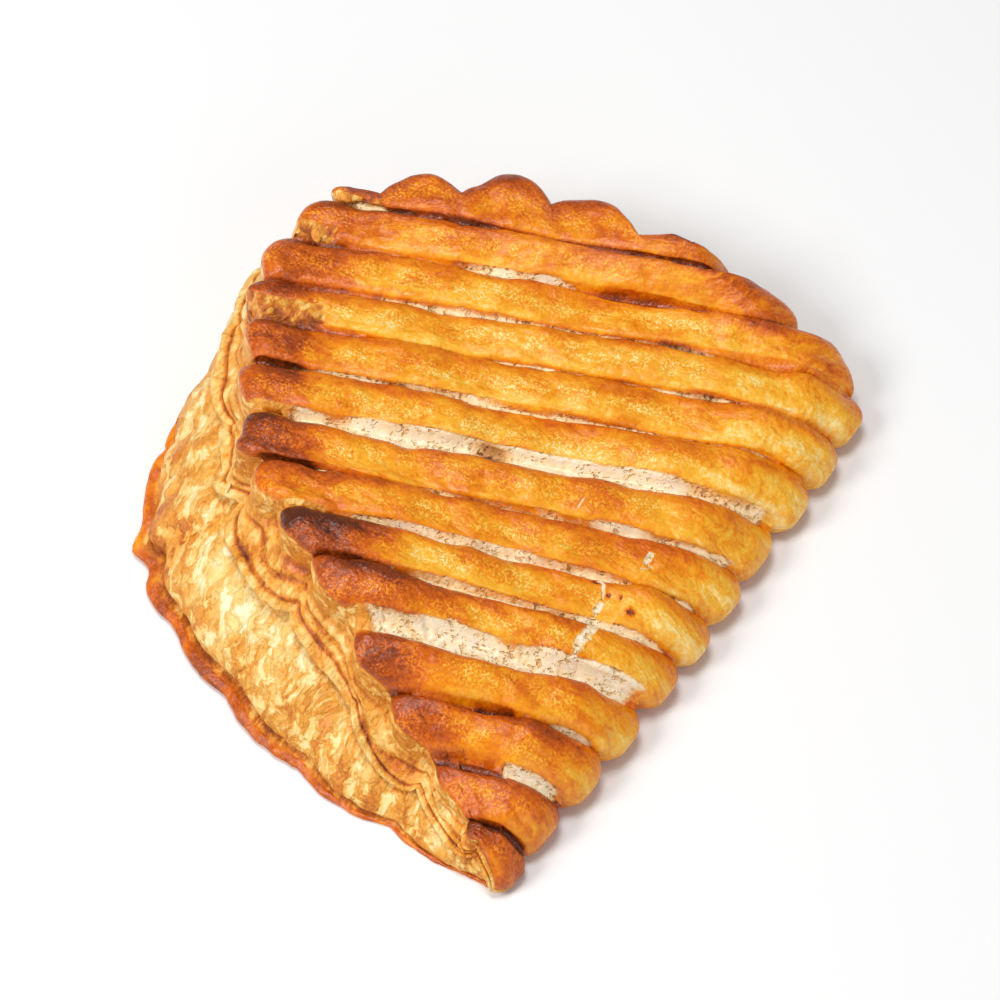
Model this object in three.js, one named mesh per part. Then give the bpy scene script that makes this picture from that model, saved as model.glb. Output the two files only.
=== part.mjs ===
// Apple turnover: a round of puff pastry folded over its filling, crimped shut along the curved
// edge, scored with parallel cuts and baked until the strips between the cuts stand up as ridges.
// One solid, in millimetres, +Z up. X runs along the fold, +Y points from the fold to the sealed
// edge, and the origin is the middle of the base. A place on the sealed edge is stated as a share
// of its length, from the right end of the fold (0) round to the left end (1).
import * as THREE from "three";

const { clamp, degToRad, lerp, smoothstep } = THREE.MathUtils;

// Plan of the base: half of a squarish superellipse that leans along the fold.
const BASE_HALF_WIDTH = 69;
const BASE_DEPTH = 117;
const BASE_SQUARENESS = 3;
const BASE_CENTRE_X = 3;
const BASE_LEAN = 0.1;
// Where the hand-shaped edge swells out or draws in.
const SWELLINGS = [
  { at: 0.03, reach: 0.1, out: 3 },
  { at: 0.32, reach: 0.14, out: -5 },
  { at: 0.58, reach: 0.12, out: -2.4 },
  { at: 0.515, reach: 0.04, out: -1.6 },
  { at: 0.57, reach: 0.05, out: 1.2 },
  { at: 0.646, reach: 0.022, out: 2.2 },
  { at: 0.668, reach: 0.016, out: -1.2 },
  { at: 0.7, reach: 0.025, out: 1 },
  { at: 0.74, reach: 0.1, out: -1.3 },
  { at: 1, reach: 0.16, out: -4.2 },
];

// Crimps pressed into the sealed edge.
const RIM_CRIMP_PITCH = 0.06;
const FIRST_RIM_CRIMP = 0.048;
const RIM_LOBE_DEPTH = 6.5;
const RIM_LOBE_SPREAD = 0.3;
const FOOT_CRIMP_PITCH = 0.07;
const FIRST_FOOT_CRIMP = 0.01;
const FOOT_CRIMP_DEPTH = 1.6;

// Upper rim. On the far side it hangs over the base. On the left it stands back from it.
const RIM_OVERHANG = 2.2;
const OVERHANG_GROWS = [0, 0.1];
const OVERHANG_ENDS = [0.24, 0.42];
const RIM_SETBACK = 23;
const SETBACK_GROWS = [0.33, 0.66];
const SETBACK_ENDS = [0.8, 1.02];
const CORNER_HEIGHT = 12;
const FAR_RIM_RISE = 12;
const FAR_RIM_GROWS = [-0.02, 0.14];
const LEFT_RIM_RISE = 8.2;
const LEFT_RIM_GROWS = [0.2, 0.6];
const RIM_FALLS = [0.78, 0.97];

// Lobes of the collar's lip on the left: the place where each ends, how far the lip lies from the rim
// in the notch there, how far the lobe swells beyond its notches, and its skew.
const PETALS_START = 0.41;
const FIRST_NOTCH = 4;
const PETALS = [
  { end: 0.49, notch: 6, swell: 1.6, skew: 1 },
  { end: 0.573, notch: 0.9, swell: 5, skew: 1 },
  { end: 0.675, notch: 2.1, swell: 3.6, skew: 0.5 },
  { end: 0.784, notch: 4.9, swell: 5, skew: 1.2 },
  { end: 0.857, notch: 2.1, swell: 3.9, skew: 1 },
  { end: 0.922, notch: 0.2, swell: 5.2, skew: 0.85 },
  { end: 0.985, notch: 1, swell: 1, skew: 1 },
];
const PETALS_GROW = [0.41, 0.45];
const PETALS_END = [0.965, 0.985];

// Scoring: parallel cuts that slant across the fold.
const CUT_ANGLE = degToRad(26.5);
const CUT_PITCH = 12.9;
const FIRST_CUT_X = 98.5;
const CUT_COUNT = 13;
// How far each cut strays from its even place, how wide it opened in the oven, and how deep it is as
// a share of the ridges' height. The first and last entries are the outer edges of the first and last
// strips.
const CUT_STRAYS = [0, 1.6, 2.2, 1.2, 2.6, 3.6, 3.3, 2, 2.4, 3.9, 4.1, 3.2, 2.8, 3.4, 0];
const CUT_OPENINGS = [0.3, 0.3, 0.9, 0.5, 0.5, 0.6, 2.8, 1, 1, 1.1, 4.4, 1, 3, 0.9, 0.3];
const CUT_DEPTHS = [1, 0.4, 0.45, 0.45, 0.45, 0.5, 0.8, 0.55, 0.6, 0.65, 0.95, 0.65, 0.85, 0.85, 1];
const OPENING_AT_ENDS = 0.5;
// How far each strip's tip strays outwards from the rim.
const TIP_STRAYS = [0, 0.3, 0.8, 1.2, 0.7, -2, -1, -2, -1.1, -0.2, 0.4, -2.7, -4.3, -1.9];
// The first cuts end on the sealed edge, and the others on the fold.
const RIGHT_ENDS_ON_EDGE = [0.119, 0.104, 0.05];
const RIM_STRIP_START = 0.375;
const LAST_STRIP_END = 0.98;
const FOLD_END = 0.006;
// The strips over which the right ends change from the sealed edge to the fold.
const FOLD_TAKES_OVER = [1.6, 3.4];

// Ridges between the cuts, rounder on the far side than on the near one, and how unevenly they rose.
const RIDGE_HEIGHT = 4.6;
const RIDGE_HEIGHT_AT_TIP = 3.2;
const RIDGE_ROUNDNESS_FAR = 2.8;
const RIDGE_ROUNDNESS_NEAR = 4.5;
const RIDGE_GROWS = 0.25;
// The cuts are at their deepest at the tips.
const DEEP_AT_TIP = [0.02, 0.14];
// How the strips fall from their tips to their noses, and the strips over which that changes.
const DOME_POWER_FAR = 0.76;
const DOME_POWER_NEAR = 0.98;
const DOME_SWAPS = [3.8, 9.8];
const UNEVENNESS = 0.55;
const UNEVEN_WAVES = [
  { perStrip: 2.4, perMm: 0.09, share: 1 },
  { perStrip: 1.7, perMm: -0.17, share: 0.7 },
];

// Side view of a strip: a small round tip on the sealed side, a large nose round the fold.
const TIP_RADIUS = 3;
const TIP_WRAP = degToRad(-95);
const NOSE_TOP = 11.8;
const NOSE_LENGTH = 13.2;
const NOSE_DROP = 6.9;
const NOSE_SQUARENESS = 1.3;
const NOSE_WRAP = degToRad(100);
const RIM_NOSE_LENGTH = 5;
const RIM_NOSE_DROP = 2.5;
// How far the ends of the strips bulge out between the cuts, as a share of the ridge's height. The
// narrow rim strip bulges at both ends as at a tip.
const TIP_BULGE = 0.5;
const NOSE_BULGE = 0.85;
const RIM_NOSE_BULGE = 1.3;
// The noses get lower over the last strips, and short strips have smaller ends and ridges.
const NOSE_FALL = 5;
const NOSE_DROP_FALL = 3;
const NOSE_FALL_STRIPS = 3;
const SHORT_STRIP = 34;
const LEAST_RIDGE = 0.4;

// Side wall under the sealed edge, from the strip ends down to the floor. run is the share of the
// setback that is covered, bulge is millimetres outwards and rise is the share of the rim's height.
// The collar's lip comes first, then the large bulge, then the thin lip of the lower sheet.
const WALL_STEPS = [
  { run: 0.06, bulge: -0.4, rise: 0.92 },
  { run: 0.16, bulge: -0.1, rise: 0.82 },
  { run: 0.26, bulge: 1.3, rise: 0.75 },
  { run: 0.28, bulge: 1.0, rise: 0.7 },
  { run: 0.3, bulge: -0.7, rise: 0.665 },
  { run: 0.48, bulge: 1.4, rise: 0.55 },
  { run: 0.66, bulge: 2.3, rise: 0.4 },
  { run: 0.82, bulge: 2.0, rise: 0.22 },
  { run: 0.88, bulge: -0.6, rise: 0.095 },
  { run: 0.97, bulge: 0.6, rise: 0.085 },
  { run: 1.0, bulge: 1.0, rise: 0.045 },
  { run: 0.97, bulge: 0.4, rise: 0 },
];
const COLLAR_LIP_STEPS = [2, 3];
const COLLAR_LIP_RUN = 0.26;
const COLLAR_LIP_BULGE = 1.15;
const COLLAR_LIP_LIMITS = [0.1, 0.85];
const COLLAR_LIP_WAVE = 2.4;
const FULL_WALL_HEIGHT = 30;
// How far the fold stands and bows out, from which strip, and the line it turns under to. The last
// strip's wall is sealed again over this share of its width.
const FOLD_OUT = 0.85;
const FOLD_BOW = 1.8;
const FOLD_BOW_START = 2.5;
const FOLD_FOOT_Y = 2.5;
const LAST_STRIP_SEALED = 0.6;

// Mesh density: samples across a strip, and columns along its tip, body and nose.
const STRIP_SAMPLES = [0, 0.1, 0.3, 0.5, 0.7, 0.9];
const TIP_COLUMNS = 3;
const BODY_COLUMNS = 22;
const NOSE_COLUMNS = 5;
const EDGE_DIVISIONS = 1200;
const NORMAL_STEP = 0.004;
const SEARCH_STEPS = 40;

const CRUST_COLOUR = 0xd98a35;
const CRUST_ROUGHNESS = 0.55;

const STRIP_COUNT = CUT_COUNT + 1;
const STRIP_WIDTH = CUT_PITCH * Math.cos(CUT_ANGLE);
const ACROSS_CUT = new THREE.Vector2(Math.cos(CUT_ANGLE), Math.sin(CUT_ANGLE));
const FOLD_NORMAL = new THREE.Vector2(0, -1);

// The base's curved edge before its swellings.
class SealedEdge extends THREE.Curve {
  constructor() {
    super();
    this.arcLengthDivisions = EDGE_DIVISIONS;
  }

  getPoint(t, target = new THREE.Vector3()) {
    const power = 2 / BASE_SQUARENESS;
    const c = Math.cos(Math.PI * t);
    const y = BASE_DEPTH * Math.abs(Math.sin(Math.PI * t)) ** power;
    const reach = BASE_HALF_WIDTH * Math.sign(c) * Math.abs(c) ** power;
    return target.set(BASE_CENTRE_X + reach + BASE_LEAN * y, y, 0);
  }
}

const sealedEdge = new SealedEdge();

// A step from 0 to 1 over a range.
function ramp(value, range) {
  return smoothstep(value, range[0], range[1]);
}

function curvePoint(share) {
  const p = sealedEdge.getPointAt(clamp(share, 0, 1));
  return new THREE.Vector2(p.x, p.y);
}

function edgeNormal(share) {
  const ahead = curvePoint(share + NORMAL_STEP);
  const tangent = ahead.sub(curvePoint(share - NORMAL_STEP)).normalize();
  return new THREE.Vector2(tangent.y, -tangent.x);
}

function swelling(share) {
  return SWELLINGS.reduce((sum, { at, reach, out }) => {
    const distance = Math.min(1, Math.abs(share - at) / reach);
    return sum + (out * (1 + Math.cos(Math.PI * distance))) / 2;
  }, 0);
}

function edgePoint(share) {
  return curvePoint(share).addScaledVector(edgeNormal(share), swelling(share));
}

// The crimped edges: 0 in a crimp, 1 on the lobe between two crimps.
function rimLobe(share) {
  return Math.abs(Math.sin((Math.PI * (share - FIRST_RIM_CRIMP)) / RIM_CRIMP_PITCH));
}

function footLobe(share) {
  return Math.abs(Math.sin((Math.PI * (share - FIRST_FOOT_CRIMP)) / FOOT_CRIMP_PITCH));
}

function rimSetback(share) {
  const overhang = ramp(share, OVERHANG_GROWS) * (1 - ramp(share, OVERHANG_ENDS));
  const setback = ramp(share, SETBACK_GROWS) * (1 - ramp(share, SETBACK_ENDS));
  return RIM_SETBACK * setback - RIM_OVERHANG * overhang;
}

function rimHeight(share) {
  const rise = FAR_RIM_RISE * ramp(share, FAR_RIM_GROWS) + LEFT_RIM_RISE * ramp(share, LEFT_RIM_GROWS);
  return CORNER_HEIGHT + rise * (1 - ramp(share, RIM_FALLS));
}

function rimPoint(share) {
  return edgePoint(share).addScaledVector(edgeNormal(share), -rimSetback(share));
}

// How far out from the rim the collar's lip lies.
function lipReach(share) {
  let start = PETALS_START;
  let from = FIRST_NOTCH;
  for (const { end, notch, swell, skew } of PETALS) {
    if (share < end) {
      const part = clamp((share - start) / (end - start), 0, 1);
      const arc = Math.sqrt(1 - (2 * part ** skew - 1) ** 2);
      return lerp(from, notch, part) + swell * arc;
    }
    start = end;
    from = notch;
  }
  return from;
}

// Where the line of cut k crosses the fold.
function cutX(k) {
  return FIRST_CUT_X - CUT_PITCH * (k - 1) + CUT_STRAYS[k];
}

// The place on the left rim where cut k starts, found by halving.
function leftEndShare(k) {
  const across = ACROSS_CUT.x * cutX(k);
  let near = RIM_STRIP_START;
  let far = 1;
  for (let i = 0; i < SEARCH_STEPS; i++) {
    const middle = (near + far) / 2;
    if (rimPoint(middle).dot(ACROSS_CUT) > across) near = middle;
    else far = middle;
  }
  return near;
}

// Both ends of cut k. Cuts 0 and STRIP_COUNT are the outer edges of the first and last strips.
function cutEnds(k) {
  const onEdge = k < RIGHT_ENDS_ON_EDGE.length;
  const rightShare = onEdge ? RIGHT_ENDS_ON_EDGE[k] : FOLD_END;
  if (k === 0) return { leftShare: RIM_STRIP_START, rightShare, onEdge };
  if (k === STRIP_COUNT) return { leftShare: LAST_STRIP_END, rightShare, foldX: edgePoint(1).x, onEdge };
  return { leftShare: leftEndShare(k), rightShare, foldX: cutX(k), onEdge };
}

const cuts = Array.from({ length: STRIP_COUNT + 1 }, (_, k) => cutEnds(k));

// The right end of a row: on the sealed edge, or bowed along the fold.
function rightEnd(k, t, share) {
  const [a, b] = [cuts[k], cuts[k + 1]];
  if (a.onEdge) return rimPoint(share);
  const turn = (Math.PI * (k + t - FOLD_BOW_START)) / (STRIP_COUNT - FOLD_BOW_START);
  const bow = FOLD_OUT + FOLD_BOW * Math.sin(turn);
  const x = lerp(a.foldX, b.foldX, t) + bow * Math.tan(CUT_ANGLE);
  return new THREE.Vector2(Math.min(edgePoint(0).x, x), -bow);
}

// How far the tips stray at a place across the strips, changing from one strip's middle to the next's.
function tipStray(place) {
  const at = clamp(place - 0.5, 0, STRIP_COUNT - 1);
  const k = Math.min(Math.floor(at), STRIP_COUNT - 2);
  return lerp(TIP_STRAYS[k], TIP_STRAYS[k + 1], at - k);
}

// A row of the top: place is the strip's number plus the share of its width.
function rowAt(place) {
  const k = Math.min(Math.floor(place), STRIP_COUNT - 1);
  const t = place - k;
  const [a, b] = [cuts[k], cuts[k + 1]];
  const leftShare = lerp(a.leftShare, b.leftShare, t);
  const rightShare = lerp(a.rightShare, b.rightShare, t);
  const onFold = ramp(place, FOLD_TAKES_OVER);
  const leftNormal = edgeNormal(leftShare);
  const left = rimPoint(leftShare).addScaledVector(leftNormal, tipStray(place));
  const right = rightEnd(k, t, rightShare);
  const length = left.distanceTo(right);
  return {
    place,
    k,
    t,
    left,
    right,
    leftShare,
    rightShare,
    onFold,
    length,
    direction: right.clone().sub(left).normalize(),
    leftNormal,
    rightNormal: edgeNormal(rightShare).lerp(FOLD_NORMAL, onFold).normalize(),
    size: Math.min(1, length / SHORT_STRIP),
  };
}

// The place across a strip between its cuts: -1 at the far edge, 1 at the near one, and the same inside
// the cuts. The cuts gape in the middle of their length.
function acrossStrip(row, body) {
  const gape = lerp(OPENING_AT_ENDS, 1, Math.sin(Math.PI * body)) / 2 / STRIP_WIDTH;
  const low = CUT_OPENINGS[row.k] * gape;
  const high = 1 - CUT_OPENINGS[row.k + 1] * gape;
  return clamp((2 * row.t - low - high) / (high - low), -1, 1);
}

// Height of the ridge's cross-section: 1 along the middle of a strip, 0 in the cuts beside it.
function ridge(across) {
  const power = across < 0 ? RIDGE_ROUNDNESS_FAR : RIDGE_ROUNDNESS_NEAR;
  return (1 - Math.abs(across) ** power) ** (1 / power);
}

// How deep the cuts are at a place on a strip's body, changing from one cut to the next.
function cutDepth(row, body) {
  const full = lerp(CUT_DEPTHS[row.k], CUT_DEPTHS[row.k + 1], row.t);
  return lerp(1, full, ramp(body, DEEP_AT_TIP));
}

// Slow waves that make each ridge rise in its own way along its length in millimetres.
function uneven(k, along) {
  return UNEVEN_WAVES.reduce((sum, { perStrip, perMm, share }) => {
    return sum + UNEVENNESS * share * Math.sin(perStrip * k + perMm * along);
  }, 0);
}

// How far the crimped outer edge of the rim strip bows out from the line between its ends.
function rimBow(s) {
  const { leftShare, rightShare } = cuts[0];
  const share = lerp(leftShare, rightShare, s);
  const chord = rimPoint(leftShare).lerp(rimPoint(rightShare), s);
  const lobes = RIM_LOBE_DEPTH * (rimLobe(share) - 0.5) * Math.sin(Math.PI * s) ** RIM_LOBE_SPREAD;
  return rimPoint(share).addScaledVector(edgeNormal(share), lobes).sub(chord);
}

const COLUMN_COUNT = TIP_COLUMNS + BODY_COLUMNS + NOSE_COLUMNS;

// A sine or cosine of the noses' profile.
function squared(value) {
  return Math.sign(value) * Math.abs(value) ** (2 / NOSE_SQUARENESS);
}

// Side view of a strip's cut line at column j: distance along the strip, height, how far the surface
// has turned from facing up, and the share of the body's length.
function sideView(row, j) {
  const fall = ramp(row.place, [STRIP_COUNT - NOSE_FALL_STRIPS, STRIP_COUNT]);
  const noseDrop = lerp(RIM_NOSE_DROP, NOSE_DROP - NOSE_DROP_FALL * fall, row.onFold);
  const noseReach = lerp(RIM_NOSE_LENGTH, NOSE_LENGTH, row.onFold) * row.size;
  const rimTop = rimHeight(row.rightShare) - RIDGE_HEIGHT_AT_TIP;
  const noseTop = lerp(rimTop, NOSE_TOP - NOSE_FALL * fall, row.onFold);
  const tipTop = rimHeight(row.leftShare) - RIDGE_HEIGHT_AT_TIP;
  const tipRadius = TIP_RADIUS * row.size;
  if (j < TIP_COLUMNS) {
    const turn = TIP_WRAP * (1 - j / TIP_COLUMNS);
    const along = tipRadius * (1 + Math.sin(turn));
    return { along, height: tipTop - tipRadius * (1 - Math.cos(turn)), turn, body: 0 };
  }
  if (j > TIP_COLUMNS + BODY_COLUMNS) {
    const turn = NOSE_WRAP * (1 - (COLUMN_COUNT - j) / NOSE_COLUMNS);
    const along = row.length - noseReach * (1 - squared(Math.sin(turn)));
    return { along, height: noseTop - noseDrop * (1 - squared(Math.cos(turn))), turn, body: 1 };
  }
  const body = (j - TIP_COLUMNS) / BODY_COLUMNS;
  const along = lerp(tipRadius, row.length - noseReach, body);
  const power = lerp(DOME_POWER_FAR, DOME_POWER_NEAR, ramp(row.place, DOME_SWAPS));
  return { along, height: lerp(tipTop, noseTop, body ** power), turn: 0, body };
}

function topPoint(place, j) {
  const row = rowAt(place);
  const side = sideView(row, j);
  const plan = row.left.clone().addScaledVector(row.direction, side.along);
  if (row.k === 0) plan.addScaledVector(rimBow(side.along / row.length), 1 - row.t);
  const grown = Math.min(1, side.body / RIDGE_GROWS);
  const full = RIDGE_HEIGHT + uneven(row.k, side.along);
  const height = lerp(RIDGE_HEIGHT_AT_TIP, full, grown) * lerp(LEAST_RIDGE, 1, row.size);
  const across = acrossStrip(row, side.body);
  const offset = (1 - cutDepth(row, side.body) * (1 - ridge(across))) * height;
  const onTip = side.turn < 0;
  const small = onTip || row.k === 0;
  const bulge = small ? TIP_BULGE : lerp(RIM_NOSE_BULGE, NOSE_BULGE, row.onFold);
  const out = (1 - across ** 2) * height * bulge * Math.abs(Math.sin(side.turn));
  plan.addScaledVector(onTip ? row.leftNormal : row.rightNormal, out);
  return new THREE.Vector3(plan.x, plan.y, side.height + offset * Math.cos(side.turn));
}

const places = [];
for (let k = 0; k < STRIP_COUNT; k++) STRIP_SAMPLES.forEach((t) => places.push(k + t));
places.push(STRIP_COUNT);
const lastRow = places.length - 1;

// The outline of the top, anticlockwise from the far end of the first strip. Each entry has its place
// in the grid and on the sealed edge, how sealed the edge is there, and the foot of a folded edge.
function outline() {
  const loop = [];
  const add = (i, j, share, sealed, normal, foldX = 0) => {
    loop.push({ i, j, share, sealed, normal, foldFoot: new THREE.Vector2(foldX, FOLD_FOOT_Y) });
  };
  for (let i = 0; i < lastRow; i++) {
    const row = rowAt(places[i]);
    add(i, 0, row.leftShare, 1, row.leftNormal);
  }
  for (let j = 0; j < COLUMN_COUNT; j++) {
    const share = lerp(LAST_STRIP_END, 1 - FOLD_END, j / COLUMN_COUNT);
    add(lastRow, j, share, 1, edgeNormal(share));
  }
  for (let i = lastRow; i > 0; i--) {
    const row = rowAt(places[i]);
    const folded = row.onFold * (1 - ramp(row.place, [STRIP_COUNT - LAST_STRIP_SEALED, STRIP_COUNT]));
    const share = row.place > STRIP_COUNT / 2 ? 1 - FOLD_END : row.rightShare;
    add(i, COLUMN_COUNT, share, 1 - folded, row.rightNormal, row.right.x);
  }
  for (let j = COLUMN_COUNT; j > 0; j--) {
    const share = lerp(cuts[0].leftShare, cuts[0].rightShare, j / COLUMN_COUNT);
    add(0, j, share, 1, edgeNormal(share));
  }
  return loop;
}

// How far the collar's lip is torn into petals rather than crimped evenly.
function petalled(share) {
  return ramp(share, PETALS_GROW) * (1 - ramp(share, PETALS_END));
}

// The share of a wall's run at which the collar's lip lies.
function collarLipRun(plan, foot, share, scale) {
  const outAtTop = plan.clone().sub(rimPoint(share)).dot(edgeNormal(share));
  const reach = lipReach(share) - outAtTop - COLLAR_LIP_BULGE * scale;
  return lerp(COLLAR_LIP_RUN, clamp(reach / plan.distanceTo(foot), ...COLLAR_LIP_LIMITS), petalled(share));
}

// The wall's points below one point of the outline: stepped where sealed, round where folded.
function wallColumn(top, { share, sealed, normal, foldFoot }) {
  const plan = new THREE.Vector2(top.x, top.y);
  const crimp = FOOT_CRIMP_DEPTH * (footLobe(share) - 1);
  const sealedFoot = edgePoint(share).addScaledVector(edgeNormal(share), crimp);
  const foot = foldFoot.clone().lerp(sealedFoot, sealed);
  const scale = sealed * Math.min(1, top.z / FULL_WALL_HEIGHT);
  const lipWave = COLLAR_LIP_WAVE * (rimLobe(share + RIM_CRIMP_PITCH / 2) - 0.5) * (1 - petalled(share));
  const lipRun = collarLipRun(plan, foot, share, scale);
  return WALL_STEPS.map((step, n) => {
    const round = ((n + 1) / WALL_STEPS.length) * (Math.PI / 2);
    const beyond = (step.run - COLLAR_LIP_RUN) / (1 - COLLAR_LIP_RUN);
    const sealedRun = beyond < 0 ? (step.run / COLLAR_LIP_RUN) * lipRun : lerp(lipRun, 1, beyond);
    const run = lerp(1 - Math.cos(round), sealedRun, sealed);
    const rise = lerp(1 - Math.sin(round), step.rise, sealed);
    const out = step.bulge + (COLLAR_LIP_STEPS.includes(n) ? lipWave : 0);
    const p = plan.clone().lerp(foot, run).addScaledVector(normal, out * scale);
    return new THREE.Vector3(p.x, p.y, top.z * rise);
  });
}

function buildGeometry() {
  const vertices = [];
  const triangles = [];
  const add = (p) => vertices.push(p) - 1;
  const quad = (a, b, c, d) => triangles.push(a, b, c, a, c, d);

  const grid = places.map((place) => {
    return Array.from({ length: COLUMN_COUNT + 1 }, (_, j) => add(topPoint(place, j)));
  });
  for (let i = 0; i < lastRow; i++) {
    for (let j = 0; j < COLUMN_COUNT; j++) {
      quad(grid[i][j], grid[i + 1][j], grid[i + 1][j + 1], grid[i][j + 1]);
    }
  }

  const wall = outline().map((entry) => {
    const top = grid[entry.i][entry.j];
    return [top, ...wallColumn(vertices[top], entry).map(add)];
  });
  wall.forEach((column, n) => {
    const next = wall[(n + 1) % wall.length];
    for (let w = 0; w < WALL_STEPS.length; w++) quad(column[w], column[w + 1], next[w + 1], next[w]);
  });

  const floor = wall.map((column) => column[WALL_STEPS.length]);
  const sum = floor.reduce((total, i) => total.add(vertices[i]), new THREE.Vector3());
  const centre = add(sum.divideScalar(floor.length));
  floor.forEach((i, n) => triangles.push(centre, floor[(n + 1) % floor.length], i));

  const geometry = new THREE.BufferGeometry().setFromPoints(vertices);
  geometry.setIndex(triangles);
  geometry.computeBoundingBox();
  const middle = geometry.boundingBox.getCenter(new THREE.Vector3());
  geometry.translate(-middle.x, -middle.y, 0);
  geometry.computeVertexNormals();
  return geometry;
}

const crust = new THREE.MeshStandardMaterial({
  color: CRUST_COLOUR,
  roughness: CRUST_ROUGHNESS,
  metalness: 0,
});
const pastry = new THREE.Mesh(buildGeometry(), crust);
pastry.name = "pastry";

const turnover = new THREE.Group();
turnover.add(pastry);

export default turnover;
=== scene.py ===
"""Dresses the apple turnover: a fine crust in place of the plain solid, loose flakes and a studio."""

import itertools
import logging
import math
from dataclasses import astuple, dataclass
from enum import Enum
from typing import Any

import bpy
import numpy as np
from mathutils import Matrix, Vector

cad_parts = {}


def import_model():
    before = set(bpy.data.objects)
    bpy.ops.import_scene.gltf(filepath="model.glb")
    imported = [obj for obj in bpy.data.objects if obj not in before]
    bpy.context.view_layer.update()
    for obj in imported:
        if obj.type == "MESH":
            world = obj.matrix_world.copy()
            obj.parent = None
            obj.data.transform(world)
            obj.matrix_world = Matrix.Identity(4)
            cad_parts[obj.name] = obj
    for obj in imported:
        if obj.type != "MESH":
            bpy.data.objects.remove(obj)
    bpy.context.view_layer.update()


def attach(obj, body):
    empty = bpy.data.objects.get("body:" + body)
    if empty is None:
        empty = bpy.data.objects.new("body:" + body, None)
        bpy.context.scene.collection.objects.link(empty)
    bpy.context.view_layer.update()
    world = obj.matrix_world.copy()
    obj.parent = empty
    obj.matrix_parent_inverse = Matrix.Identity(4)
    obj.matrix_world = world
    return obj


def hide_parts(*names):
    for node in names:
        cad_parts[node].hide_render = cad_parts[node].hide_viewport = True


Array = np.ndarray
Span = tuple[float, float]
Triple = tuple[float, float, float]
Rgb = tuple[int, int, int]
Stops = tuple[tuple[float, Rgb], ...]

LOG = logging.getLogger("turnover")
MM = 0.001
NODE = "pastry"
BODY = "root"
CRUST_NAME = "baked_crust"
FLAKES_NAME = "loose_flakes"
SHEET_MAP = "sheet"
HALF = 0.5
FAR_AWAY = 9.0
TINY = 1e-12
WHITE = (1.0, 1.0, 1.0, 1.0)

# Numbers of node sockets that share a name with others
MIX_SHARE = 0
MIX_FIRST = 6
MIX_SECOND = 7
MIX_COLOUR = 2
RANDOM_LEAST = 2
RANDOM_MOST = 3
RANDOM_NUMBER = 1

# Primes and shifts that scramble cell numbers into random ones
AXIS_PRIMES = np.array([73856093, 19349663, 83492791], dtype=np.uint64)
SEED_PRIME = 7919
LAYER_PRIME = 104729
FIRST_SEED = 12345
SPREAD_PRIME = 2654435761
SEED_LIMIT = 2**63
MIX_ROUNDS = ((15, 2246822519), (13, 3266489917))
LAST_SHIFT = np.uint64(16)
RANDOM_BITS = 0xFFFFFF
OCTAVE_SEEDS = 31
ROUGH_GAIN = 1.6


def lerp(start: Any, end: Any, share: Any) -> Any:
    """Point between two values at a share of the way."""
    return start + (end - start) * share


def unit(vectors: Array) -> Array:
    """Vectors scaled to length 1."""
    return vectors / np.linalg.norm(vectors, axis=-1, keepdims=True)


def lobe(turns: Array) -> Array:
    """0 at each whole number and 1 half-way between."""
    return np.abs(np.sin(np.pi * turns))


def table(entries: tuple[Any, ...]) -> Array:
    """The numbers of small dataclasses, one row for each."""
    return np.array([astuple(entry) for entry in entries])


def cells(grid: Array) -> Array:
    """The four corners of each cell of a grid."""
    return np.stack([grid[:-1, :-1], grid[1:, :-1], grid[1:, 1:], grid[:-1, 1:]], axis=2)


def linear(colour: Rgb) -> tuple[float, ...]:
    """A screen colour of 0 to 255 as the linear colour that a shader takes."""
    knee, slope, offset, power, brightest = 0.04045, 12.92, 0.055, 2.4, 255.0
    parts = [channel / brightest for channel in colour]
    return (*(p / slope if p <= knee else ((p + offset) / (1.0 + offset)) ** power for p in parts), 1.0)


@dataclass(frozen=True)
class Step:
    """A smooth step between two values, and what it comes to."""

    start: float
    end: float
    by: float = 1.0

    def up(self, value: Array) -> Array:
        """0 before the step and all of it after."""
        t = np.clip((value - self.start) / (self.end - self.start), 0.0, 1.0)
        return self.by * (t * t * (3.0 - 2.0 * t))

    def down(self, value: Array) -> Array:
        """All of the step before it and 0 after."""
        return self.by - self.up(value)


@dataclass(frozen=True)
class Bump:
    """A rounded bump that ends at its reach on both sides of its middle, and its height."""

    at: float
    reach: float
    by: float = 1.0

    def over(self, value: Array) -> Array:
        """Height of the bump at some places."""
        distance = np.minimum(1.0, np.abs(value - self.at) / self.reach)
        return self.by * (1.0 + np.cos(np.pi * distance)) / 2.0


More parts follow.
